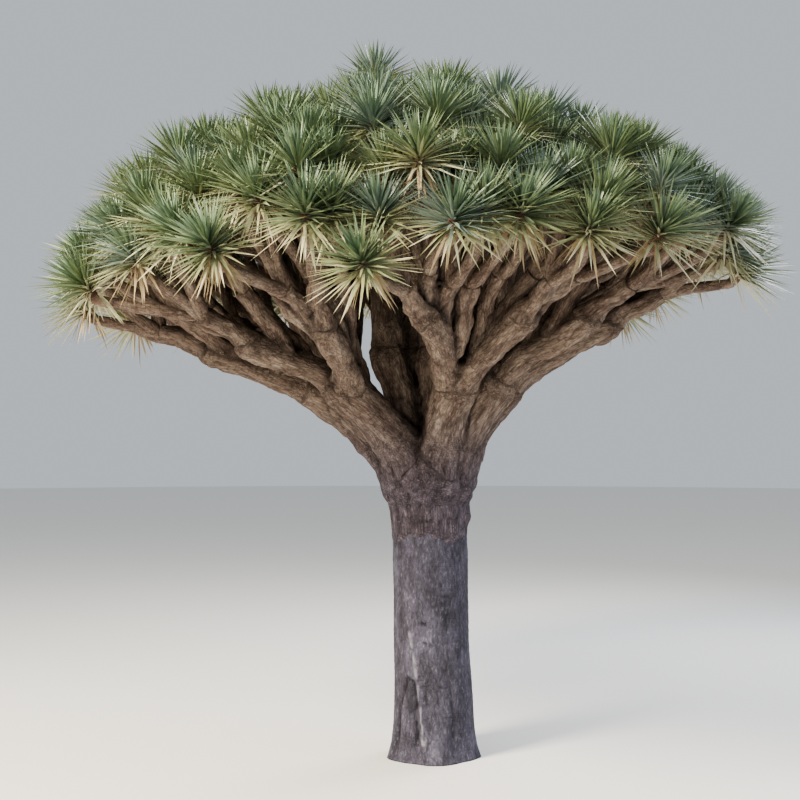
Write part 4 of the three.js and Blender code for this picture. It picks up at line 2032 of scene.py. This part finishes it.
    def blades(self, roots: Array, ways: Array, axis: Array, lengths: Array, droop: Array) -> Array:
        """Sword leaves: flat above, keeled below, tapering to a point.

        Args:
            roots: Where each leaf is rooted.
            ways: The way that each leaf sets out.
            axis: The rosette's axis, to which the leaves turn their upper sides.
            lengths: The length of each leaf.
            droop: How far each tip hangs, as a share of its length.

        Returns:
            The corners of each leaf, its point last.
        """
        count = len(roots)
        twist = self.draw.normal(0, self.twist, count)[:, None]
        flat = unit(np.cross(ways, axis + self.draw.normal(0, self.lean, (count, 3))))
        keeled = np.cross(flat, ways)
        side = flat * np.cos(twist) + keeled * np.sin(twist)
        face = keeled * np.cos(twist) - flat * np.sin(twist)
        rows = []
        for at, wide in zip(self.section_places, self.section_widths):
            spine = roots + ways * (lengths * at)[:, None]
            spine = spine - UP * (lengths * droop * at**2)[:, None]
            half = side * (self.width * wide / 2)
            keel = face * (self.thickness * (1 - self.keel_fade * at))
            rows += [spine - half, spine + half, spine - keel]
        tips = roots + ways * lengths[:, None] - UP * (lengths * droop)[:, None]
        return np.stack([*rows, tips], axis=1)

    def inside(self, corners: Array) -> Array:
        """Which leaves keep to the space that the solids take up, and a little round it.

        Args:
            corners: The corners of each leaf, its point last.

        Returns:
            True for each that does.
        """
        low = np.array(CAD_BOUNDS[0]) - self.spare
        high = np.array(CAD_BOUNDS[1]) + self.spare
        tips = corners[:, -1]
        return ((tips > low) & (tips < high)).all(1)


# Studio


@dataclass(frozen=True)
class Lamp:
    """A square soft light: its place, side, power in watts and colour."""

    name: str
    place: tuple[float, float, float]
    side: float
    watts: float
    colour: int


LAMPS = (
    Lamp("key", (-8.4, -7.2, 10.2), 3.2, 4150, 0xFFF1DA),
    Lamp("fill", (8.0, -5.0, 9.0), 8.0, 400, 0xEAF0FF),
    Lamp("low", (-4.0, -11.0, 1.5), 6.0, 220, 0xFFF4E6),
    Lamp("back", (6.5, 6.5, 9.5), 5.0, 1150, 0xF4F4FA),
)


@dataclass
class Studio:
    """The pale floor, the soft lights and the camera at the photograph's angle."""

    floor_radius: float = 60.0
    floor_corners: int = 96
    crown_middle: tuple[float, float, float] = (0.0, 0.0, 3.2)
    camera_place: tuple[float, float, float] = (-0.295, -12.0, 2.88)
    focal_mm: float = 60.48
    sensor_mm: float = 36.0
    camera_rise: float = 0.04
    sky: int = 0xE4EAF0
    sky_strength: float = 0.62
    look: str = "AgX - Medium High Contrast"

    def build(self) -> None:
        """Build the floor, the lights and the camera."""
        turns = np.linspace(0, 2 * math.pi, self.floor_corners, endpoint=False)
        edge = [
            (self.floor_radius * math.cos(turn), self.floor_radius * math.sin(turn), 0.0)
            for turn in turns
        ]
        data = bpy.data.meshes.new("floor")
        data.from_pydata(edge, [], [list(range(len(edge)))])
        data.materials.append(Plaster("floor_plaster").dress())
        floor = bpy.data.objects.new("floor", data)
        bpy.context.scene.collection.objects.link(floor)
        for lamp in LAMPS:
            self.light(lamp)
        bpy.context.scene.view_settings.look = self.look
        self.world()
        self.camera()

    def light(self, lamp: Lamp) -> None:
        """Hang a soft light that faces the crown.

        Args:
            lamp: The light.
        """
        data = bpy.data.lights.new(lamp.name, "AREA")
        data.size = lamp.side
        data.energy = lamp.watts
        data.color = linear(lamp.colour)[:3]
        hung = bpy.data.objects.new(lamp.name, data)
        hung.location = lamp.place
        across, ahead, up = np.array(self.crown_middle) - np.array(lamp.place)
        pitch = math.atan2(math.hypot(across, ahead), -up)
        hung.rotation_euler = (pitch, 0, math.atan2(-across, ahead))
        bpy.context.scene.collection.objects.link(hung)

    def world(self) -> None:
        """Give the room its even pale light."""
        world = bpy.data.worlds.new("studio")
        world.use_nodes = True
        backdrop = world.node_tree.nodes["Background"]
        backdrop.inputs["Color"].default_value = linear(self.sky)
        backdrop.inputs["Strength"].default_value = self.sky_strength
        bpy.context.scene.world = world

    def camera(self) -> None:
        """Set up the camera, level, with the frame raised a little."""
        data = bpy.data.cameras.new("camera")
        data.lens = self.focal_mm
        data.sensor_width = self.sensor_mm
        data.shift_y = self.camera_rise
        camera = bpy.data.objects.new("camera", data)
        camera.location = self.camera_place
        camera.rotation_euler = (math.pi / 2, 0, 0)
        bpy.context.scene.collection.objects.link(camera)
        bpy.context.scene.camera = camera


def nodes_named(*starts: str) -> list[str]:
    """The CAD nodes whose names start in one of some ways.

    Args:
        starts: The starts.

    Returns:
        The nodes' names, sorted.
    """
    return sorted(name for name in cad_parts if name.startswith(starts))


def main() -> None:
    """Build the tree and the studio, and report each piece."""
    logging.basicConfig(level=logging.INFO, format="%(message)s")
    skeleton = Skeleton().grow()
    LOG.info("%d rosettes on %d branches", len(skeleton.rosettes), len(skeleton.branches))
    trunk = Trunk()
    for part in (trunk, Boughs(skeleton, trunk), Twigs(skeleton), Rosettes(skeleton)):
        for piece in part.build():
            mesh = piece.data
            LOG.info("%s: %d corners, %d faces", piece.name, len(mesh.vertices), len(mesh.polygons))
    Studio().build()


if __name__ == "__main__":
    main()
